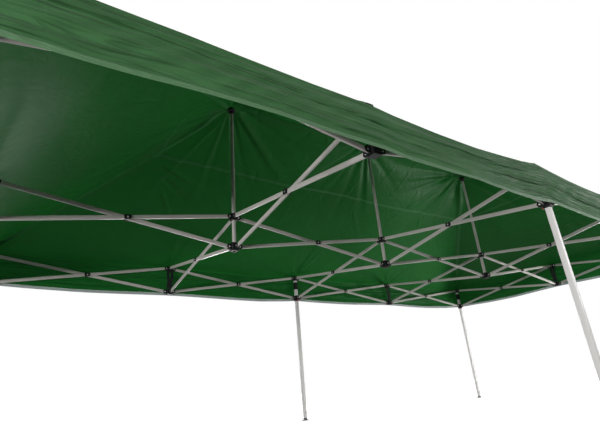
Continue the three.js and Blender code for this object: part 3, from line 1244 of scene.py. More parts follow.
@dataclass
class Legs:
    """Six telescopic square legs with their feet."""

    grid: Grid
    paint: dict[str, bpy.types.Material]
    wide: float = 0.032
    wall: float = 0.001
    corner: float = 0.003
    inner_wide: float = 0.0292
    foot_wide: float = 0.072
    foot_thick: float = 0.006
    tube_over: float = 0.018
    button_up: float = 0.045
    peg_share: float = 0.36

    def square_tube(self, shell: Shell, axis: Array, wide: float, low: float, high: float) -> None:
        """An upright tube with rounded corners, open at both ends.

        Args:
            shell: Where the surfaces go.
            axis: The axis's point on the ground.
            wide: Outer width.
            low: Lower height.
            high: Upper height.
        """
        outer = rounded_outline(wide, wide, self.corner, steps=4)
        inner = rounded_outline(wide - 2 * self.wall, wide - 2 * self.wall, self.corner - self.wall, steps=4)
        shell.ring(outer, inner, low, high, 0.0003, axis)

    def outer(self, column: int, row: int) -> bpy.types.Object:
        """The outer tube, with a grommet in the snap button's hole near its lower end.

        Args:
            column: 0 at the left to 4 at the right.
            row: -1 near, 0 middle, 1 far.

        Returns:
            The piece.
        """
        name = f"outer_leg_{leg_tail(column, row)}"
        low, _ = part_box(name)
        axis = self.grid.ground(column, row)
        shell = Shell()
        self.square_tube(shell, axis, self.wide, low[2], self.grid.upper + self.tube_over)
        inward = np.array([0.0, -row, 0.0])
        place = axis + inward * self.wide / 2 + np.array([0, 0, low[2] + self.button_up])
        basis = inner_face(row)
        grommet, button = circle_outline(0.007, 18), circle_outline(0.0042, 14)
        shell.column(grommet, [(0, 0), (0.0012, 0), (0.002, 0.001)], place, basis, finish=1)
        shell.column(button, [(0.001, 0), (0.004, 0), (0.0055, 0.002)], place, basis, finish=2)
        piece = shell.make(name.replace("outer_leg", "outer_leg_tube"),
                           [self.paint[key] for key in ("leg", "nylon", "rivet")])
        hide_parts(name)
        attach(piece, name)
        return piece

    def inner(self, column: int, row: int) -> bpy.types.Object:
        """The inner tube on its foot: a plate with turned edge, a boot and two peg holes' collars.

        Args:
            column: 0 at the left to 4 at the right.
            row: -1 near, 0 middle, 1 far.

        Returns:
            The piece.
        """
        tail = leg_tail(column, row)
        _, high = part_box(f"inner_leg_{tail}")
        axis = self.grid.ground(column, row)
        shell = Shell()
        self.square_tube(shell, axis, self.inner_wide, self.foot_thick, high[2])
        plate = rounded_outline(self.foot_wide, self.foot_wide, 0.009, steps=5)
        thick = self.foot_thick
        shell.column(plate, [(0, 0.001), (0.001, 0), (thick - 0.0012, 0), (thick, 0.0012)], axis, np.eye(3),
                     finish=1)
        boot = rounded_outline(self.wide + 0.001, self.wide + 0.001, 0.004, steps=4)
        shell.column(boot, [(thick - 0.001, -0.003), (thick + 0.003, -0.0005), (0.022, 0), (0.0238, 0.0015)],
                     axis, np.eye(3), finish=1)
        for sign in (-1, 1):
            off = sign * self.foot_wide * self.peg_share
            place = axis + np.array([off, off, thick - 0.0005])
            outer, hole = circle_outline(0.0062, 20), circle_outline(0.0040, 20)
            shell.ring(outer, hole, 0.0, 0.0016, 0.0004, place, finish=2)
        piece = shell.make(f"inner_leg_tube_{tail}", [self.paint[key] for key in ("leg", "foot", "rivet")])
        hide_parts(f"inner_leg_{tail}")
        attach(piece, f"inner_leg_{tail}")
        return piece

    def build(self) -> int:
        """Makes the six legs.

        Returns:
            The number of pieces.
        """
        places = [(column, row) for column in LEG_COLUMNS for row in EDGE_ROWS]
        for column, row in places:
            self.outer(column, row)
            self.inner(column, row)
        return 2 * len(places)


@dataclass
class Poles:
    """Three telescopic peak poles with domed caps."""

    grid: Grid
    paint: dict[str, bpy.types.Material]
    lower_r: float = 0.014
    upper_r: float = 0.0126
    wall: float = 0.001
    count: int = 32
    cap_r: float = 0.0335
    cap_high: float = 0.038
    collar_r: float = 0.0165
    ferrule_r: float = 0.0158
    ferrule_long: float = 0.016

    def round_tube(self, shell: Shell, axis: Array, radius: float, low: float, high: float) -> None:
        """An upright round tube, open at both ends."""
        shell.ring(circle_outline(radius, self.count), circle_outline(radius - self.wall, self.count),
                   low, high, 0.0003, axis)

    def cap(self, shell: Shell, axis: Array, base: float, top: float) -> None:
        """A dome turned about the pole, with a collar under it.

        The dome's radius at height h is R times the root of 1 - (h / H) to the power 1.6.

        Args:
            shell: Where the surfaces go.
            axis: The pole's point on the ground.
            base: Height of its foot.
            top: Height of its top.
        """
        rise = np.linspace(0, 1, 9)[:-1]
        dome = self.cap_r * np.sqrt(1 - rise**1.6)
        profile = [(base, 0.030), (base + 0.002, self.cap_r)]
        profile += list(zip(base + 0.004 + rise * (top - base - 0.005), dome, strict=True))
        profile.append((top - 0.0005, 0.003))
        outline = circle_outline(1.0, self.count)
        rings = rings_at([(outline * radius, height) for height, radius in profile]) + axis
        shell.grid(rings, wrap_v=True, finish=1)
        shell.polygon(rings[0][::-1], 1)
        shell.polygon(rings[-1], 1)
        collar = circle_outline(self.collar_r, self.count)
        shell.column(collar, [(base - 0.022, 0.001), (base - 0.021, 0), (base + 0.001, 0)], axis, np.eye(3),
                     finish=1)

    def build(self) -> int:
        """Makes the lower and upper tubes of the three poles.

        Returns:
            The number of pieces.
        """
        for column in POLE_COLUMNS:
            place = COLUMNS[column]
            axis = self.grid.ground(column, 0)
            low_box, high_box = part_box(f"lower_hub_{place}"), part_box(f"peak_tube_{place}")
            shell = Shell()
            self.round_tube(shell, axis, self.lower_r, self.grid.lower - 0.011, low_box[1][2])
            collar_low = low_box[1][2] - self.ferrule_long
            ferrule, bore = (circle_outline(r, self.count) for r in (self.ferrule_r, self.lower_r + 0.0001))
            shell.ring(ferrule, bore, collar_low, low_box[1][2] - 0.0002, 0.001, axis)
            lower = shell.make(f"peak_pole_lower_{place}", [self.paint["bar"], self.paint["nylon"]])
            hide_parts(f"lower_hub_{place}")
            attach(lower, f"lower_hub_{place}")
            shell = Shell()
            top = high_box[1][2]
            base = top - self.cap_high
            self.round_tube(shell, axis, self.upper_r, high_box[0][2], base)
            self.cap(shell, axis, base, top)
            upper = shell.make(f"peak_pole_upper_{place}", [self.paint["bar"], self.paint["nylon"]])
            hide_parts(f"peak_tube_{place}")
            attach(upper, f"peak_tube_{place}")
        return 6


# ---- cloth


class Side(Enum):
    """A side of the canopy: the axis it runs along and the sign of the other axis, outward."""

    NEAR = (0, -1)
    FAR = (0, 1)
    LEFT = (1, -1)
    RIGHT = (1, 1)

    @property
    def run(self) -> int:
        """Index of the axis along the side."""
        return self.value[0]

    @property
    def sign(self) -> int:
        """Sign of the outward direction on the other axis."""
        return self.value[1]

    @property
    def outward(self) -> Array:
        """Unit vector out of the side."""
        return np.eye(3)[1 - self.run] * self.sign


# The long creases that pull hardest: start and end in plan, height and half width, in metres.
CREASES = (
    (-1.45, 0.02, -0.50, 0.60, -0.030, 0.022),
    (-1.46, 0.03, -0.95, 0.72, 0.020, 0.018),
    (-1.44, 0.01, -0.50, 0.24, 0.018, 0.018),
    (-1.46, 0.04, -1.20, 0.75, -0.018, 0.018),
    (-1.50, 0.05, -2.55, 1.00, -0.034, 0.030),
    (-1.49, 0.07, -2.30, 0.96, 0.026, 0.022),
    (-1.48, 0.09, -2.05, 1.04, -0.022, 0.018),
    (-1.53, 0.02, -2.65, 0.78, 0.030, 0.034),
    (-1.54, 0.00, -2.40, 0.50, -0.018, 0.030),
    (-1.88, 0.54, -1.30, 0.74, -0.022, 0.015),
    (-1.84, 0.64, -1.36, 0.94, 0.018, 0.015),
    (-1.80, 0.74, -1.50, 1.18, -0.016, 0.015),
    (1.44, 0.02, 0.35, 0.26, -0.028, 0.022),
    (1.45, 0.02, 0.30, 0.12, 0.020, 0.018),
    (1.45, 0.03, 0.50, 0.48, 0.024, 0.020),
    (1.46, 0.04, 0.75, 0.72, -0.022, 0.020),
    (1.46, 0.04, 1.05, 0.90, 0.018, 0.020),
    (1.49, 0.05, 2.30, 0.80, -0.026, 0.026),
    (1.50, 0.03, 2.45, 0.66, 0.022, 0.024),
    (0.02, 0.03, 0.50, 0.66, -0.022, 0.020),
    (0.03, 0.02, 0.75, 0.35, 0.018, 0.018),
    (-0.02, 0.03, -0.56, 0.55, 0.020, 0.020),
)

# The curved seam on the left slope: distance along the side and out from the middle, in metres.
CURVED_SEAM = ((0.43, 1.905), (0.294, 1.886), (0.062, 1.884), (-0.091, 1.846), (-0.164, 1.737))


@dataclass(frozen=True)
class Folds:
    """Straight creases in plan: each is a line with a height, and a width that grows along it."""

    start: Array
    end: Array
    height: Array
    width: Array

    @classmethod
    def draw(cls, grid: Grid, seed: int = 11) -> "Folds":
        """Draws the creases that tension pulls into the cloth.

        Fans spread from each peak; shorter ones run in from the eave beside each upper connector.

        Args:
            grid: The frame's measures.
            seed: Of the random draw.

        Returns:
            The creases.
        """
        rng = np.random.default_rng(seed)
        rows = [tuple(row) for row in CREASES]
        for column in (-1, 0, 1):
            peak = np.array([column * grid.pitch, 0.0])
            for angle in np.arange(0, 2 * math.pi, 2 * math.pi / 26):
                turn = angle + rng.uniform(-0.09, 0.09)
                reach = rng.uniform(0.35, 1.15)
                way = np.array([math.cos(turn), math.sin(turn)])
                rows.append((*(peak + 0.03 * way), *(peak + reach * way),
                             rng.choice([-1, 1]) * rng.uniform(0.008, 0.022), rng.uniform(0.014, 0.034)))
        for column in (-2, -1, 0, 1, 2):
            for sign in (-1, 1):
                for turn in rng.uniform(-1.25, 1.25, 7):
                    way = np.array([math.sin(turn), -sign * math.cos(turn)])
                    base = np.array([column * grid.pitch, sign * grid.pitch])
                    reach = rng.uniform(0.18, 0.55)
                    rows.append((*(base + 0.02 * way), *(base + reach * way),
                                 rng.choice([-1, 1]) * rng.uniform(0.006, 0.014), rng.uniform(0.012, 0.024)))
        for _ in range(46):
            base = np.array([rng.uniform(-2.6, 2.6), rng.uniform(-1.2, 1.2)])
            off_peak = base[0] - np.clip(base[0], -grid.pitch, grid.pitch)
            turn = math.atan2(base[1], off_peak) + rng.uniform(-0.9, 0.9)
            way = np.array([math.cos(turn), math.sin(turn)]) * rng.uniform(0.10, 0.28)
            rows.append((*(base - way), *(base + way), rng.choice([-1, 1]) * rng.uniform(0.003, 0.009),
                         rng.uniform(0.010, 0.022)))
        table = np.array(rows)
        return cls(table[:, 0:2], table[:, 2:4], table[:, 4], table[:, 5])

    def lift(self, x: Array, y: Array) -> Array:
        """Height of the creases at points in plan.

        Each adds height x exp(-(distance / width) squared) x a window that rises at once from its start
        and dies away along its length.

        Args:
            x: Along the long sides.
            y: Along the short sides.

        Returns:
            Heights to add.
        """
        total = np.zeros_like(x)
        for start, end, height, width in zip(self.start, self.end, self.height, self.width, strict=True):
            way = end - start
            length = float(np.hypot(*way))
            way = way / length
            share = ((x - start[0]) * way[0] + (y - start[1]) * way[1]) / length
            near = (share > -0.05) & (share < 1.05)
            dist = (x[near] - start[0]) * way[1] - (y[near] - start[1]) * way[0]
            part = np.clip(share[near], 0, 1)
            window = np.clip(part / 0.12, 0, 1) ** 2 * (1 - part) ** 1.2
            total[near] += height * window * np.exp(-((dist / (width * (0.7 + 1.3 * part))) ** 2))
        return total


# Height of the eave over its level at the legs, in millimetres, at distances along each side in bays.
EAVES = {
    Side.NEAR: ((-2.02, 2), (-1.8, -5), (-1.6, -3), (-1.22, -17), (-1.0, -17), (-0.9, -30), (-0.7, -39),
                (-0.46, -39), (-0.27, -26), (-0.1, -12), (0.0, 0), (0.1, -17), (0.25, -36), (0.40, -46),
                (0.52, -51), (0.75, -38), (0.95, -19), (1.0, -16), (1.25, -28), (1.5, -32), (1.8, -20),
                (2.02, 0)),
    Side.FAR: ((-2.02, 6), (-1.8, -8), (-1.5, -18), (-1.0, -18), (-0.6, -26), (-0.3, -32), (-0.1, -24),
               (0.0, -14), (0.2, -22), (0.6, -24), (1.0, -16), (1.5, -24), (1.8, -18), (2.02, 0)),
    Side.LEFT: ((-1.02, 6), (-0.7, -12), (-0.3, -20), (0.0, -15), (0.3, -20), (0.7, -12), (1.02, 6)),
    Side.RIGHT: ((-1.02, 0), (-0.7, -16), (-0.4, -22), (0.0, -15), (0.4, -22), (0.7, -16), (1.02, 0)),
}

# How far the hem stands out past the eave, in metres, at distances along each side in metres.
FLARES = {
    Side.NEAR: ((-2.8, 0.010), (-2.5, 0.018), (-2.2, 0.036), (-2.0, 0.045), (-1.3, 0.045),
                (-0.85, 0.065), (-0.6, 0.050), (-0.3, 0.020), (0.0, 0.004), (0.6, 0.018), (2.8, 0.020)),
    Side.FAR: ((-2.8, 0.010), (0.0, 0.004), (2.8, 0.010)),
    Side.LEFT: ((-1.3, 0.010), (0.0, 0.020), (1.3, 0.010)),
    Side.RIGHT: ((-1.3, 0.010), (0.0, 0.020), (1.3, 0.010)),
}


TAPE_DROP = 0.0012  # metres from the roof down to the seam tapes under it

# The creases that run along a valance: level and half width as shares of its depth, height in metres.
BANDS = ((0.10, 0.010, 0.050), (0.24, 0.012, 0.05), (0.38, 0.010, 0.04), (0.52, 0.013, 0.06),
         (0.66, 0.008, 0.035), (0.78, 0.009, 0.045))


@dataclass
class Canopy:
    """The hipped roof and its valance.

    One height over the plan gives the whole roof, so its pieces meet point on point. Each roof piece lies
    over one bay and folds with the bar under it; each side's valance rides on the body at the middle of its
    side.
    """

    grid: Grid
    paint: dict[str, bpy.types.Material]
    half_x: float
    half_y: float
    eave: float
    top: float
    bottom: float
    steps: int = 96
    rows: int = 70
    ridge_round: float = 0.05
    hip_round: float = 0.05
    sag: float = 0.030
    hem: float = 0.024
    gather: float = 0.03
    gather_out: float = 0.05
    cap_gap: float = 0.004
    ridge_slack: float = 0.014
    tent: float = 0.015
    tent_wide: float = 0.075
    folds: Folds = field(init=False)

    def __post_init__(self) -> None:
        """Draws the creases."""
        self.folds = Folds.draw(self.grid)

    @classmethod
    def read(cls, grid: Grid, paint: dict[str, bpy.types.Material]) -> "Canopy":
        """Takes the canopy's sizes from its node's box.

        Args:
            grid: The frame's measures.
            paint: Materials by key.

        Returns:
            The canopy.
        """
        low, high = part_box("canopy")
        edge = 0.006
        return cls(grid, paint, high[0] - edge, high[1] - edge, grid.upper + 0.030, high[2], low[2] - 0.002)

    @property
    def ridge_half(self) -> float:
        """Half the length of the ridge."""
        return self.half_x - self.half_y

    def height(self, x: Array, y: Array) -> Array:
        """Height of the roof over points in plan.

        With a the share of the way out to the long eave and b the share out to the short one, the plain
        hipped roof is top - rise x the larger of the two; ridge and hips are rounded, cloth sags between the
        peaks and connectors, and the creases are added.

        Args:
            x: Along the long sides.
            y: Along the short sides.

        Returns:
            Heights.
        """
        rounded = np.sqrt(y**2 + self.ridge_round**2) - self.ridge_round
        a = rounded / (math.hypot(self.half_y, self.ridge_round) - self.ridge_round)
        b = (np.abs(x) - self.ridge_half) / self.half_y
        soft = self.hip_round * np.clip(1.0 - np.maximum(a, b), 0, 1)
        share = 0.5 * (a + b + np.sqrt((a - b) ** 2 + soft**2))
        share = share - 0.5 * soft * np.exp(-((share / 0.12) ** 2))
        crown = self.top - self.cap_gap
        plain = crown - (crown - self.eave) * share
        pitch = self.grid.pitch
        bay = np.where(a > b, np.sin(math.pi * x / pitch) ** 2, np.sin(math.pi * y / pitch) ** 2)
        off_hip = 1 - np.exp(-(((a - b) / 0.22) ** 2))
        down = 0.25 + 0.75 * np.sin(math.pi * np.clip(share, 0, 1))
        slack = self.sag * down * (0.35 + 0.65 * bay) * off_hip
        slack *= np.clip(share / 0.05, 0, 1)
        ridge = np.exp(-((y / 0.12) ** 2)) * (b < 0.02)
        ridge_slack = self.ridge_slack * np.sin(math.pi * x / pitch) ** 2 * ridge
        lines = {side: np.interp((x, y)[side.run] / pitch, *np.array(table).T)
                 for side, table in EAVES.items()}
        long_line = np.where(y < 0, lines[Side.NEAR], lines[Side.FAR])
        short_line = np.where(x < 0, lines[Side.LEFT], lines[Side.RIGHT])
        lean = np.clip((a - b) / 0.12 + 0.5, 0, 1)
        line = (lean * long_line + (1 - lean) * short_line) / 1000
        edge = np.exp(-(((1 - share) / 0.16) ** 2))
        calm = 1 - np.exp(-(((1 - share) / 0.02) ** 2))
        creased = self.folds.lift(x, y) * calm
        return plain - slack - ridge_slack + line * edge + creased + self.tents(x, y, share)

    def tents(self, x: Array, y: Array, share: Array) -> Array:
        """Lift of the cloth over the connectors along the eaves.

        Over each is a round bump, tent x exp(-(distance / tent_wide)^2), that starts at the eave itself.

        Args:
            x: Along the long side.
            y: Along the short side.
            share: How far out each point is, 1 at the eave.

        Returns:
            Heights to add.
        """
        bumps = np.zeros(np.broadcast(x, y).shape)
        for column, row in [(c, r) for c in range(5) for r in (-1, 1)] + [(0, 0), (4, 0)]:
            spot = self.grid.axis_of(column, row, Level.UPPER)
            bumps += np.exp(-((x - spot[0]) ** 2 + (y - spot[1]) ** 2) / self.tent_wide**2)
        return self.tent * bumps * (1 - np.exp(-(((1 - share) / 0.006) ** 2)))

    def roof_normal(self, x: Array, y: Array, step: float = 0.004) -> Array:
        """Unit normals of the roof by central differences of its height.

        Args:
            x: Along the long sides.
            y: Along the short sides.
            step: Metres to either side.

        Returns:
            Unit vectors.
        """
        across = (self.height(x + step, y) - self.height(x - step, y)) / (2 * step)
        along = (self.height(x, y + step) - self.height(x, y - step)) / (2 * step)
        normal = np.stack([-across, -along, np.ones_like(across)], axis=-1)
        return normal / np.linalg.norm(normal, axis=-1, keepdims=True)

    def place(self, side: Side, run: Array, out: Array) -> tuple[Array, Array]:
        """Plan coordinates from the distance along a side and the distance out from the middle."""
        return (run, out * side.sign) if side.run == 0 else (out * side.sign, run)

    def half(self, side: Side) -> tuple[float, float]:
        """Half the side's length, and the distance out to it."""
        return (self.half_x, self.half_y) if side.run == 0 else (self.half_y, self.half_x)

    def stations(self, side: Side) -> list[Array]:
        """Distances along a side, one array for each bay, from the low end up.

        Args:
            side: A side of the canopy.

        Returns:
            One array for each bay.
        """
        length, _ = self.half(side)
        count = 2 if side.run == 0 else 1
        marks = np.arange(-count, count + 1) * self.grid.pitch
        marks[0], marks[-1] = -length, length
        return [np.linspace(marks[i], marks[i + 1], self.steps + 1) for i in range(2 * count)]

    def top_of(self, side: Side, run: Array) -> Array:
        """Distance out from the middle at which a side's slope starts: the ridge or a hip.

        Args:
            side: A side of the canopy.
            run: Distances along the side.

        Returns:
            Distances out.
        """
        if side.run == 0:
            return np.clip(np.abs(run) - self.ridge_half, 0, None)
        return self.ridge_half + np.abs(run)

    def valance(self, side: Side, run: Array, drop: Array) -> Array:
        """Points of a side's valance.

        Outward it has slow billows, a few creases that run along it and wander up and down, and
        a slight flare at the hem; all of it dies away at the corners.

        Args:
            side: A side of the canopy.
            run: Distances along the side.
            drop: Distances down from the eave.

        Returns:
            Points.
        """
        length, out = self.half(side)
        x, y = self.place(side, run, np.full_like(run, out))
        start = self.height(x, y)
        depth = self.eave - self.bottom
        share = drop / depth
        key = {Side.NEAR: 0.0, Side.FAR: 2.1, Side.LEFT: 4.0, Side.RIGHT: 5.3}[side]
        flare = np.interp(run, *np.array(FLARES[side]).T) * share**1.3
        billow = 0.006 * np.sin(2.3 * run + key) * share + 0.004 * np.sin(5.1 * run + 2 * key) * share**2
        creases = np.zeros_like(run)
        for k, (level, high, wide) in enumerate(BANDS):
            slow = 0.045 * np.sin(1.1 * run * (1 + 0.23 * k) + 1.7 * k + key)
            wander = slow + 0.02 * np.sin(4.3 * run + 2.9 * k + key)
            strength = 0.55 + 0.45 * np.sin(1.9 * run + 2.3 * k + key)
            side_of = 1 if k % 2 else -0.6
            creases += side_of * high * strength * np.exp(-(((share - level - wander) / wide) ** 2))
        ripple = 0.0016 * np.sin(38 * run + 60 * drop + 3 * np.sin(3 * run)) * np.sin(math.pi * share)
        hem = 0.0012 * (drop > depth - self.hem)
        calm = 1 - np.exp(-(((length - np.abs(run)) / 0.10) ** 2))
        offset = (0.003 + flare + billow + creases + ripple) * calm * np.clip(share / 0.08, 0, 1) + hem * calm
        x, y = self.place(side, run, out + offset)
        return np.stack([x, y, start - drop], axis=-1)

    def valance_normal(self, side: Side, run: Array, drop: Array, step: float = 0.003) -> Array:
        """Unit normals of a valance, outward, by differences along it and down it.

        Args:
            side: A side of the canopy.
            run: Distances along the side.
            drop: Distances down from the eave.
            step: Metres to either side.

        Returns:
            Unit vectors.
        """
        length, _ = self.half(side)
        low, high = np.clip(run - step, -length, length), np.clip(run + step, -length, length)
        along = self.valance(side, high, drop) - self.valance(side, low, drop)
        down = self.valance(side, run, drop + step) - self.valance(side, run, np.clip(drop - step, 0, None))
        normal = np.cross(along, down)
        normal *= np.sign(normal @ side.outward)[..., None]
        return normal / np.linalg.norm(normal, axis=-1, keepdims=True)

    def eave_normal(self, side: Side, run: Array) -> Array:
        """The normal on the eave, half way between roof and valance.

        Args:
            side: A side of the canopy.
            run: Distances along the side.

        Returns:
            Unit vectors.
        """
        _, out = self.half(side)
        x, y = self.place(side, run, np.full_like(run, out - 0.006))
        both = self.roof_normal(x, y) + self.valance_normal(side, run, np.full_like(run, 0.012))
        return both / np.linalg.norm(both, axis=-1, keepdims=True)

    def mesh(self, name: str, grids: list[tuple[Array, Array, Array, int]]) -> bpy.types.Object:
        """Makes one cloth object, points that coincide within a grid taken as one.

        Args:
            name: The piece's name.
            grids: Points, normals and cloth coordinates, shaped (rows, columns, ...), and a material index.

        Returns:
            The object.
        """
        points, normals, cloths, faces, finishes = [], [], [], [], []
        base = 0
        for place, normal, cloth, finish in grids:
            flat = place.reshape(-1, 3)
            _, first, inverse = np.unique(np.round(flat, 6), axis=0, return_index=True, return_inverse=True)
            index = (inverse.reshape(-1) + base).reshape(place.shape[:2])
            for quad in quads_of(index).tolist():
                face = [v for k, v in enumerate(quad) if v != quad[k - 1]]
                if len(face) > 2:
                    faces.append(face)
                    finishes.append(finish)
            points.append(flat[first])
            normals.append(normal.reshape(-1, 3)[first])
            cloths.append(cloth.reshape(-1, 2)[first])
            base += len(first)
        all_normals, cloth = np.concatenate(normals), np.concatenate(cloths)
        data = bpy.data.meshes.new(name)
        data.from_pydata(np.concatenate(points).tolist(), [], faces)
        for key in ("canopy", "hem", "seam", "valance"):
            data.materials.append(self.paint[key])
        data.polygons.foreach_set("material_index", finishes)
        data.polygons.foreach_set("use_smooth", [True] * len(faces))
        data.update()
        lay_cloth(data, cloth)
        data.normals_split_custom_set_from_vertices(all_normals.tolist())
        piece = place_object(name, data)
        return piece

    def patch(self, side: Side, run: Array, out: Array, finish: int, lift: float = 0.0) -> tuple:
        """A grid of the roof over plan points, turned so that its faces look up.

        Args:
            side: The side it belongs to.
            run: Distances along the side, shaped (rows, columns).
            out: Distances out, the same shape.
            finish: Material index.
            lift: Metres along the normal.

        Returns:
            Points, normals, cloth coordinates and the index.
        """
        x, y = self.place(side, run, out)
        normal = self.roof_normal(x, y)
        points = np.stack([x, y, self.height(x, y)], axis=-1) + lift * normal
        _, reach = self.half(side)
        edge = out >= reach - 1e-6
        if edge.any():
            normal[edge] = self.eave_normal(side, run[edge])
        slope = math.hypot(self.half_y, self.top - self.eave) / self.half_y
        cloth = np.stack([run, out * slope], axis=-1)
        grid = [points, normal, cloth]
        mid = points.shape[1] // 2
        turn = np.cross(points[0, mid + 1] - points[0, mid], points[-1, mid] - points[0, mid])[2] < 0
        return (*[part[:, ::-1] if turn else part for part in grid], finish)

    def roof_piece(self, side: Side, run: Array, tail: str) -> bpy.types.Object:
        """The roof over one bay: the cloth and the seam tapes under it.

        Args:
            side: A side of the canopy.
            run: Distances along the side.
            tail: The end of its name.

        Returns:
            The piece.
        """
        _, reach = self.half(side)
        start = self.top_of(side, run)
        share = np.linspace(0, 1, self.rows + 1)[:, None]
        grids = [self.patch(side, np.broadcast_to(run, (self.rows + 1, len(run))).copy(),
                            start + (reach - start) * share, 0)]
        tape = np.linspace(-0.011, 0.011, 3)[:, None]
        third = reach - self.half_y * 2 / 3
        inside = run[start < third - 0.012]
        if len(inside) > 1 and side is not Side.LEFT:
            grids.append(self.patch(side, np.broadcast_to(inside, (3, len(inside))).copy(),
                                    np.broadcast_to(third + tape, (3, len(inside))).copy(), 2, -TAPE_DROP))
        hip = run[(np.abs(run) > self.ridge_half - 1e-6) | (side.run == 1)]
        tops = self.top_of(side, hip)
        hip = hip[(tops > reach - self.half_y + 0.03) & (tops < reach - 0.04)]
        if len(hip) > 1:
            edge = np.linspace(0, 0.022, 3)[:, None]
            grids.append(self.patch(side, np.broadcast_to(hip, (3, len(hip))).copy(),
                                    self.top_of(side, hip) + edge, 2, -TAPE_DROP))
        if side is Side.LEFT:
            grids.append(self.curved_seam(side, np.sign(run.mean())))
        return self.mesh(f"canopy_roof_{side.name.lower()}_{tail}", grids)

    def curved_seam(self, side: Side, half: float) -> tuple:
        """The part of the curved seam that lies on one half of a side, as a ribbon under the cloth.

        Args:
            side: The side it belongs to.
            half: 1 for the half with positive distances along the side, -1 for the other.

        Returns:
            A grid for mesh().
        """
        table = np.array(CURVED_SEAM)
        knots = np.arange(len(table))
        bends = [np.polyfit(knots, table[:, k], len(table) - 1) for k in (0, 1)]
        fine = np.linspace(0, len(table) - 1, 600)
        fine = fine[np.sign(np.polyval(bends[0], fine)) == half]
        t = np.linspace(fine[0], fine[-1], 40)
        run, out = (np.polyval(bend, t) for bend in bends)
        way = np.stack([np.gradient(run), np.gradient(out)])
        way /= np.hypot(*way)
        wide = np.array([-0.5, 0.5])[:, None] * 0.014
        return self.patch(side, run - way[1] * wide, out + way[0] * wide, 2, -TAPE_DROP)

    def valance_piece(self, side: Side) -> bpy.types.Object:
        """One side's valance with its hem band.

        Args:
            side: A side of the canopy.

        Returns:
            The piece.
        """
        stations = self.stations(side)
        run = np.concatenate([stations[0][:1]] + [part[1:] for part in stations])
        depth = self.eave - self.bottom
        cloth_drops = np.linspace(0, depth - self.hem, 26)
        hem_drops = np.linspace(depth - self.hem + 1e-5, depth, 4)
        grids = []
        for drops, finish in ((cloth_drops, 3), (hem_drops, 1)):
            runs = np.broadcast_to(run, (len(drops), len(run))).copy()
            deep = np.broadcast_to(drops[:, None], runs.shape).copy()
            points, normal = self.valance(side, runs, deep), self.valance_normal(side, runs, deep)
            if finish == 3:
                normal[0] = self.eave_normal(side, run)
            grid = [points, normal, np.stack([runs, deep], axis=-1)]
            turn = np.cross(points[0, 1] - points[0, 0], points[-1, 0] - points[0, 0]) @ side.outward < 0
            grids.append((*[part[:, ::-1] if turn else part for part in grid], finish))
        return self.mesh(f"canopy_valance_{side.name.lower()}", grids)

    def flat_area(self, side: Side, run: Array) -> float:
        """Area of the flat cut over one bay.

        Args:
            side: A side of the canopy.
            run: Distances along the side.

        Returns:
            Square metres.
        """
        _, reach = self.half(side)
        slope = math.hypot(self.half_y, self.top - self.eave) / self.half_y
        deep = (reach - self.top_of(side, run)) * slope
        return float(np.sum((deep[1:] + deep[:-1]) / 2 * np.diff(run)))

    def carrier(self, side: Side, bay: int) -> str:
        """The body of the bar that one bay of the roof hangs from when the frame is folded.

        Args:
            side: A side of the canopy.
            bay: Which stretch, from the low end.

        Returns:
            The body's name.
        """
        if side.run == 0:
            return f"side_crossing_{side.name.lower()}_{bay + 1}"
        return f"cross_bar_{('falling', 'rising')[bay]}_{side.name.lower()}_{('near', 'far')[bay]}"

    def build(self) -> int:
        """Returns:
            The number of pieces.
        """
        rise = self.top - self.eave
        slope = math.hypot(self.half_y, rise)
        travel = np.linalg.norm(self.grid.shift(3, 0, Level.UPPER))
        leaders = {Side.NEAR: "outer_leg_near_centre", Side.FAR: "outer_leg_far_centre",
                   Side.LEFT: "upper_connector_left", Side.RIGHT: "upper_connector_right"}
        count = 0
        for side, leader in leaders.items():
            length, reach = self.half(side)
            for bay, run in enumerate(self.stations(side)):
                piece = self.roof_piece(side, run, str(bay + 1))
                wide = float(run[-1] - run[0])
                min(self.flat_area(side, run), wide * slope)
                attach(piece, self.carrier(side, bay))
                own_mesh(piece)
                count += 1
            valance = self.valance_piece(side)
            f"canopy_roof_{side.name.lower()}_1"
            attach(valance, leader)
            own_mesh(valance)
            if side is Side.NEAR:
                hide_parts("canopy")
            count += 1
        return count


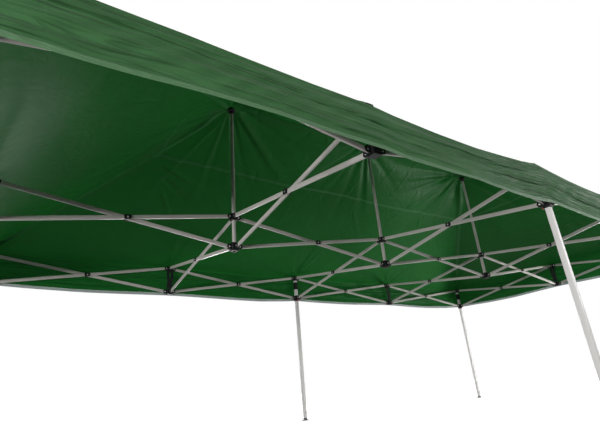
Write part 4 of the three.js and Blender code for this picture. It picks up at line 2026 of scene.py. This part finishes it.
@dataclass
class Straps:
    """Webbing: a sleeve round each leg under its top connector, and a pair of ties on each tee."""

    grid: Grid
    carriers: Carriers
    paint: dict[str, bpy.types.Material]
    sleeve_low: float = 0.130
    sleeve_high: float = 0.048
    gap: float = 0.0006
    thick: float = 0.0012
    leg_half: float = 0.016
    bend: float = 0.0045
    tie_wide: float = 0.026
    tie_top: float = 0.017
    tie_short: float = 0.045
    tie_inset: float = 0.006
    tie_apart: float = 0.0135
    tie_spread: float = 0.003
    tie_slack: float = 0.012
    tie_sway: float = 0.004

    def band(self, name: str, path: Array, across: Array, wide: float) -> bpy.types.Object:
        """A strip of webbing with real thickness along a path.

        Args:
            name: The piece's name.
            path: Points along the strip's middle line.
            across: Unit vector along its width.
            wide: Its width.

        Returns:
            The object.
        """
        along = np.gradient(path, axis=0)
        out = np.cross(across, along)
        out /= np.linalg.norm(out, axis=1, keepdims=True)
        half, thin = across * wide / 2, out * self.thick / 2
        corners = [path - half - thin, path + half - thin, path + half + thin, path - half + thin]
        rings = np.stack(corners, axis=1)
        if np.cross(rings[0, 1] - rings[0, 0], rings[1, 0] - rings[0, 0]) @ -out[0] < 0:
            rings = rings[:, ::-1]
        shell = Shell().grid(rings, wrap_v=True)
        shell.polygon(rings[0][::-1]).polygon(rings[-1])
        piece = shell.make(name, [self.paint["webbing"]])
        reach = np.concatenate([[0], np.cumsum(np.linalg.norm(np.diff(path, axis=0), axis=1))])
        cloth = np.stack([np.repeat(reach, 4), np.tile([0, wide, wide, 0], len(path))], axis=-1)
        spots = np.zeros(3 * len(piece.data.vertices), np.float32)
        piece.data.vertices.foreach_get("co", spots)
        nearest = np.argmin(np.linalg.norm(spots.reshape(-1, 1, 3) - rings.reshape(1, -1, 3), axis=2), axis=1)
        lay_cloth(piece.data, cloth[nearest])
        return piece

    def sleeve(self, column: int, row: int) -> None:
        """The wide sleeve round a leg, its end lapped over its start.

        Args:
            column: 0 at the left to 4 at the right.
            row: -1 near, 0 middle, 1 far.
        """
        tail = leg_tail(column, row)
        centre = self.grid.axis_of(column, row, Level.UPPER)
        reach = self.leg_half + self.gap + self.thick / 2
        loop = rounded_outline(2 * reach, 2 * reach, self.bend, steps=4)
        loop = np.vstack([loop, loop[:1]])
        steps = np.concatenate([np.linspace(loop[i], loop[i + 1], 3)[:-1] for i in range(len(loop) - 1)])
        lap = steps[:9] * (1 + 1.25 * self.thick / reach)
        path = np.vstack([steps[-1:], steps, lap]) * [1, -row]
        wide = self.sleeve_low - self.sleeve_high
        height = -(self.sleeve_low + self.sleeve_high) / 2
        path = np.column_stack([path, np.full(len(path), height)]) + centre
        piece = self.band(f"leg_sleeve_{tail}", path, UP, wide)
        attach(piece, f"outer_leg_{tail}")

    def ties(self, column: int, row: int) -> None:
        """Two ties that hang from a tee's outer side in a narrow V, slightly slack.

        Args:
            column: 0 at the left to 4 at the right.
            row: -1 near, 0 middle, 1 far.
        """
        top = self.grid.axis_of(column, row, Level.UPPER) + np.array([0, 0, -self.tie_top])
        out = np.array([np.sign(column - 2) if row == 0 else 0, row, 0.0])
        along = np.array([out[1], -out[0], 0.0])
        place = PLACES[row]
        for k, lean in enumerate((-1, 1)):
            share = np.linspace(0, 1, 15)[:, None]
            drop = self.grid.drop - self.tie_short
            apart = along * lean * (self.tie_apart + self.tie_spread * share)
            path = top - out * self.tie_inset + apart - np.array([0, 0, drop]) * share
            path = path - out * self.tie_slack * np.sin(math.pi * share) * (0.6 + 0.4 * k)
            path = path + along * lean * self.tie_sway * np.sin(2 * math.pi * share)
            piece = self.band(f"tie_{column}_{place}_{k + 1}", path, along, self.tie_wide)
            if row == 0:
                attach(piece, f"upper_connector_{'left' if column == 0 else 'right'}")
            else:
                self.carriers.take_connector(piece, column, row, Level.UPPER)

    def build(self) -> int:
        """Makes the six sleeves and the ties of the six tees.

        Returns:
            The number of pieces.
        """
        for column in LEG_COLUMNS:
            for row in EDGE_ROWS:
                self.sleeve(column, row)
        for column, row in ((0, 0), (4, 0), (1, -1), (1, 1), (3, -1), (3, 1)):
            self.ties(column, row)
        return 18


# ---- studio


@dataclass
class Studio:
    """Camera, floor, background and lamps."""

    place: tuple[float, float, float] = (-2.7489, -2.6762, 0.3057)
    yaw: float = 0.9605
    pitch: float = 0.3871
    roll: float = -0.0837
    lens: float = 25.96
    sensor: float = 36.0
    floor_half: float = 30.0

    def camera(self) -> None:
        """Places the camera: right and up are turned by the roll about the line of sight."""
        data = bpy.data.cameras.new("camera")
        data.lens, data.sensor_width, data.clip_end = self.lens, self.sensor, 200.0
        camera = place_object("camera", data)
        ahead = Vector((math.cos(self.yaw) * math.cos(self.pitch), math.sin(self.yaw) * math.cos(self.pitch),
                        math.sin(self.pitch)))
        right = Vector((math.sin(self.yaw), -math.cos(self.yaw), 0.0))
        above = right.cross(ahead)
        turned = math.cos(self.roll) * right + math.sin(self.roll) * above
        upright = -math.sin(self.roll) * right + math.cos(self.roll) * above
        matrix = Matrix((turned, upright, -ahead)).transposed().to_4x4()
        matrix.translation = self.place
        camera.matrix_world = matrix
        bpy.context.scene.camera = camera

    def world(self, level: float, zenith: float) -> None:
        """A white background to the camera, and to everything else a light that is dimmer overhead.

        Args:
            level: Strength at the horizon.
            zenith: Strength overhead.
        """
        world = bpy.data.worlds.new("studio")
        world.use_nodes = True
        nodes = Nodes(world.node_tree)
        world.node_tree.nodes.clear()
        way = nodes.add("ShaderNodeTexCoord").outputs["Generated"]
        parts = nodes.add("ShaderNodeSeparateXYZ", Vector=way)
        height = nodes.add("ShaderNodeMapRange", clamp=True)
        for index, value in ((0, parts.outputs[2]), (1, 0.05), (2, 0.75), (3, level), (4, zenith)):
            nodes.feed(height, index, value)
        soft = nodes.add("ShaderNodeBackground", Color=(1.0, 1.0, 1.0, 1.0), Strength=height.outputs[0])
        plain = nodes.add("ShaderNodeBackground", Color=(1.0, 1.0, 1.0, 1.0), Strength=1.0)
        output = nodes.add("ShaderNodeOutputWorld")
        nodes.feed(output, "Surface", nodes.blend(nodes.seen(), soft.outputs[0], plain.outputs[0]))
        bpy.context.scene.world = world

    def floor(self, seen_glow: float, bounce: float) -> None:
        """A pale floor that runs into the background and keeps the shadow.

        Args:
            seen_glow: Emission to the camera.
            bounce: Grey level of the floor to every other ray.
        """
        mesh = bpy.data.meshes.new("floor")
        wide = self.floor_half
        corners = [(-wide, -wide, 0), (wide, -wide, 0), (wide, wide, 0), (-wide, wide, 0)]
        mesh.from_pydata(corners, [], [(0, 1, 2, 3)])
        floor = place_object("floor", mesh)
        material, nodes, shader = begin("floor_white")
        shader.inputs["Base Color"].default_value = (0.93, 0.93, 0.93, 1.0)
        shader.inputs["Roughness"].default_value = 0.9
        shader.inputs["Emission Color"].default_value = (1.0, 1.0, 1.0, 1.0)
        shader.inputs["Emission Strength"].default_value = seen_glow
        plain = nodes.add("ShaderNodeBsdfDiffuse", Color=(bounce, bounce, bounce, 1.0))
        both = nodes.blend(nodes.seen(), plain.outputs[0], shader.outputs[0])
        nodes.feed(material.node_tree.nodes["Material Output"], "Surface", both)
        mesh.materials.append(material)
        floor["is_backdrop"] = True

    def lamp(self, name: str, place: tuple[float, float, float], target: tuple[float, float, float],
             size: float, power: float) -> None:
        """A square area lamp that looks at a point.

        Args:
            name: Its name.
            place: Where it hangs.
            target: What it looks at.
            size: Width.
            power: Watts.
        """
        data = bpy.data.lights.new(name, "AREA")
        data.shape, data.size, data.energy = "SQUARE", size, power
        lamp = place_object(name, data)
        way = Vector(target) - Vector(place)
        matrix = way.to_track_quat("-Z", "Y").to_matrix().to_4x4()
        matrix.translation = place
        lamp.matrix_world = matrix
        lamp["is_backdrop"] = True

    def build(self) -> int:
        """Sets up the light and the floor.

        Returns:
            The number of lamps and floors.
        """
        self.world(level=0.43, zenith=0.26)
        self.floor(seen_glow=0.80, bounce=0.14)
        self.lamp("key_lamp", (-8.0, -7.0, 1.6), (0.0, 0.0, 1.5), 2.0, 540.0)
        self.lamp("far_lamp", (0.6, 6.5, 0.6), (-2.7, -0.3, 1.7), 2.2, 580.0)
        self.lamp("low_lamp", (4.2, -1.0, 0.15), (-1.0, 0.5, 2.1), 0.9, 190.0)
        self.lamp("left_lamp", (-7.0, -2.2, 0.35), (1.5, 0.3, 1.8), 0.6, 290.0)
        self.lamp("right_lamp", (5.2, -4.2, 2.0), (2.8, -1.5, 1.4), 1.6, 170.0)
        return 6


def main() -> None:
    """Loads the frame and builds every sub-assembly round it."""
    logging.basicConfig(level=logging.INFO, format="%(name)s %(message)s")
    bpy.context.scene.view_settings.view_transform = "Standard"
    studio = Studio()
    studio.camera()
    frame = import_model()
    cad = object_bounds()
    grid = Grid.read(frame)
    carriers = Carriers(grid)
    paint = dress()
    for part in (Truss(grid, carriers, paint), Connectors(grid, carriers, paint), Legs(grid, paint),
                 Poles(grid, paint), Straps(grid, carriers, paint), Canopy.read(grid, paint), studio):
        LOG.info("%s: %d pieces", type(part).__name__, part.build())
    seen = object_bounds()
    boxes = {name: [list(corner) for corner in box] for name, box in (("cad", cad), ("visual", seen))}
    LOG.info("boxes %s", boxes)


if __name__ == "__main__":
    main()
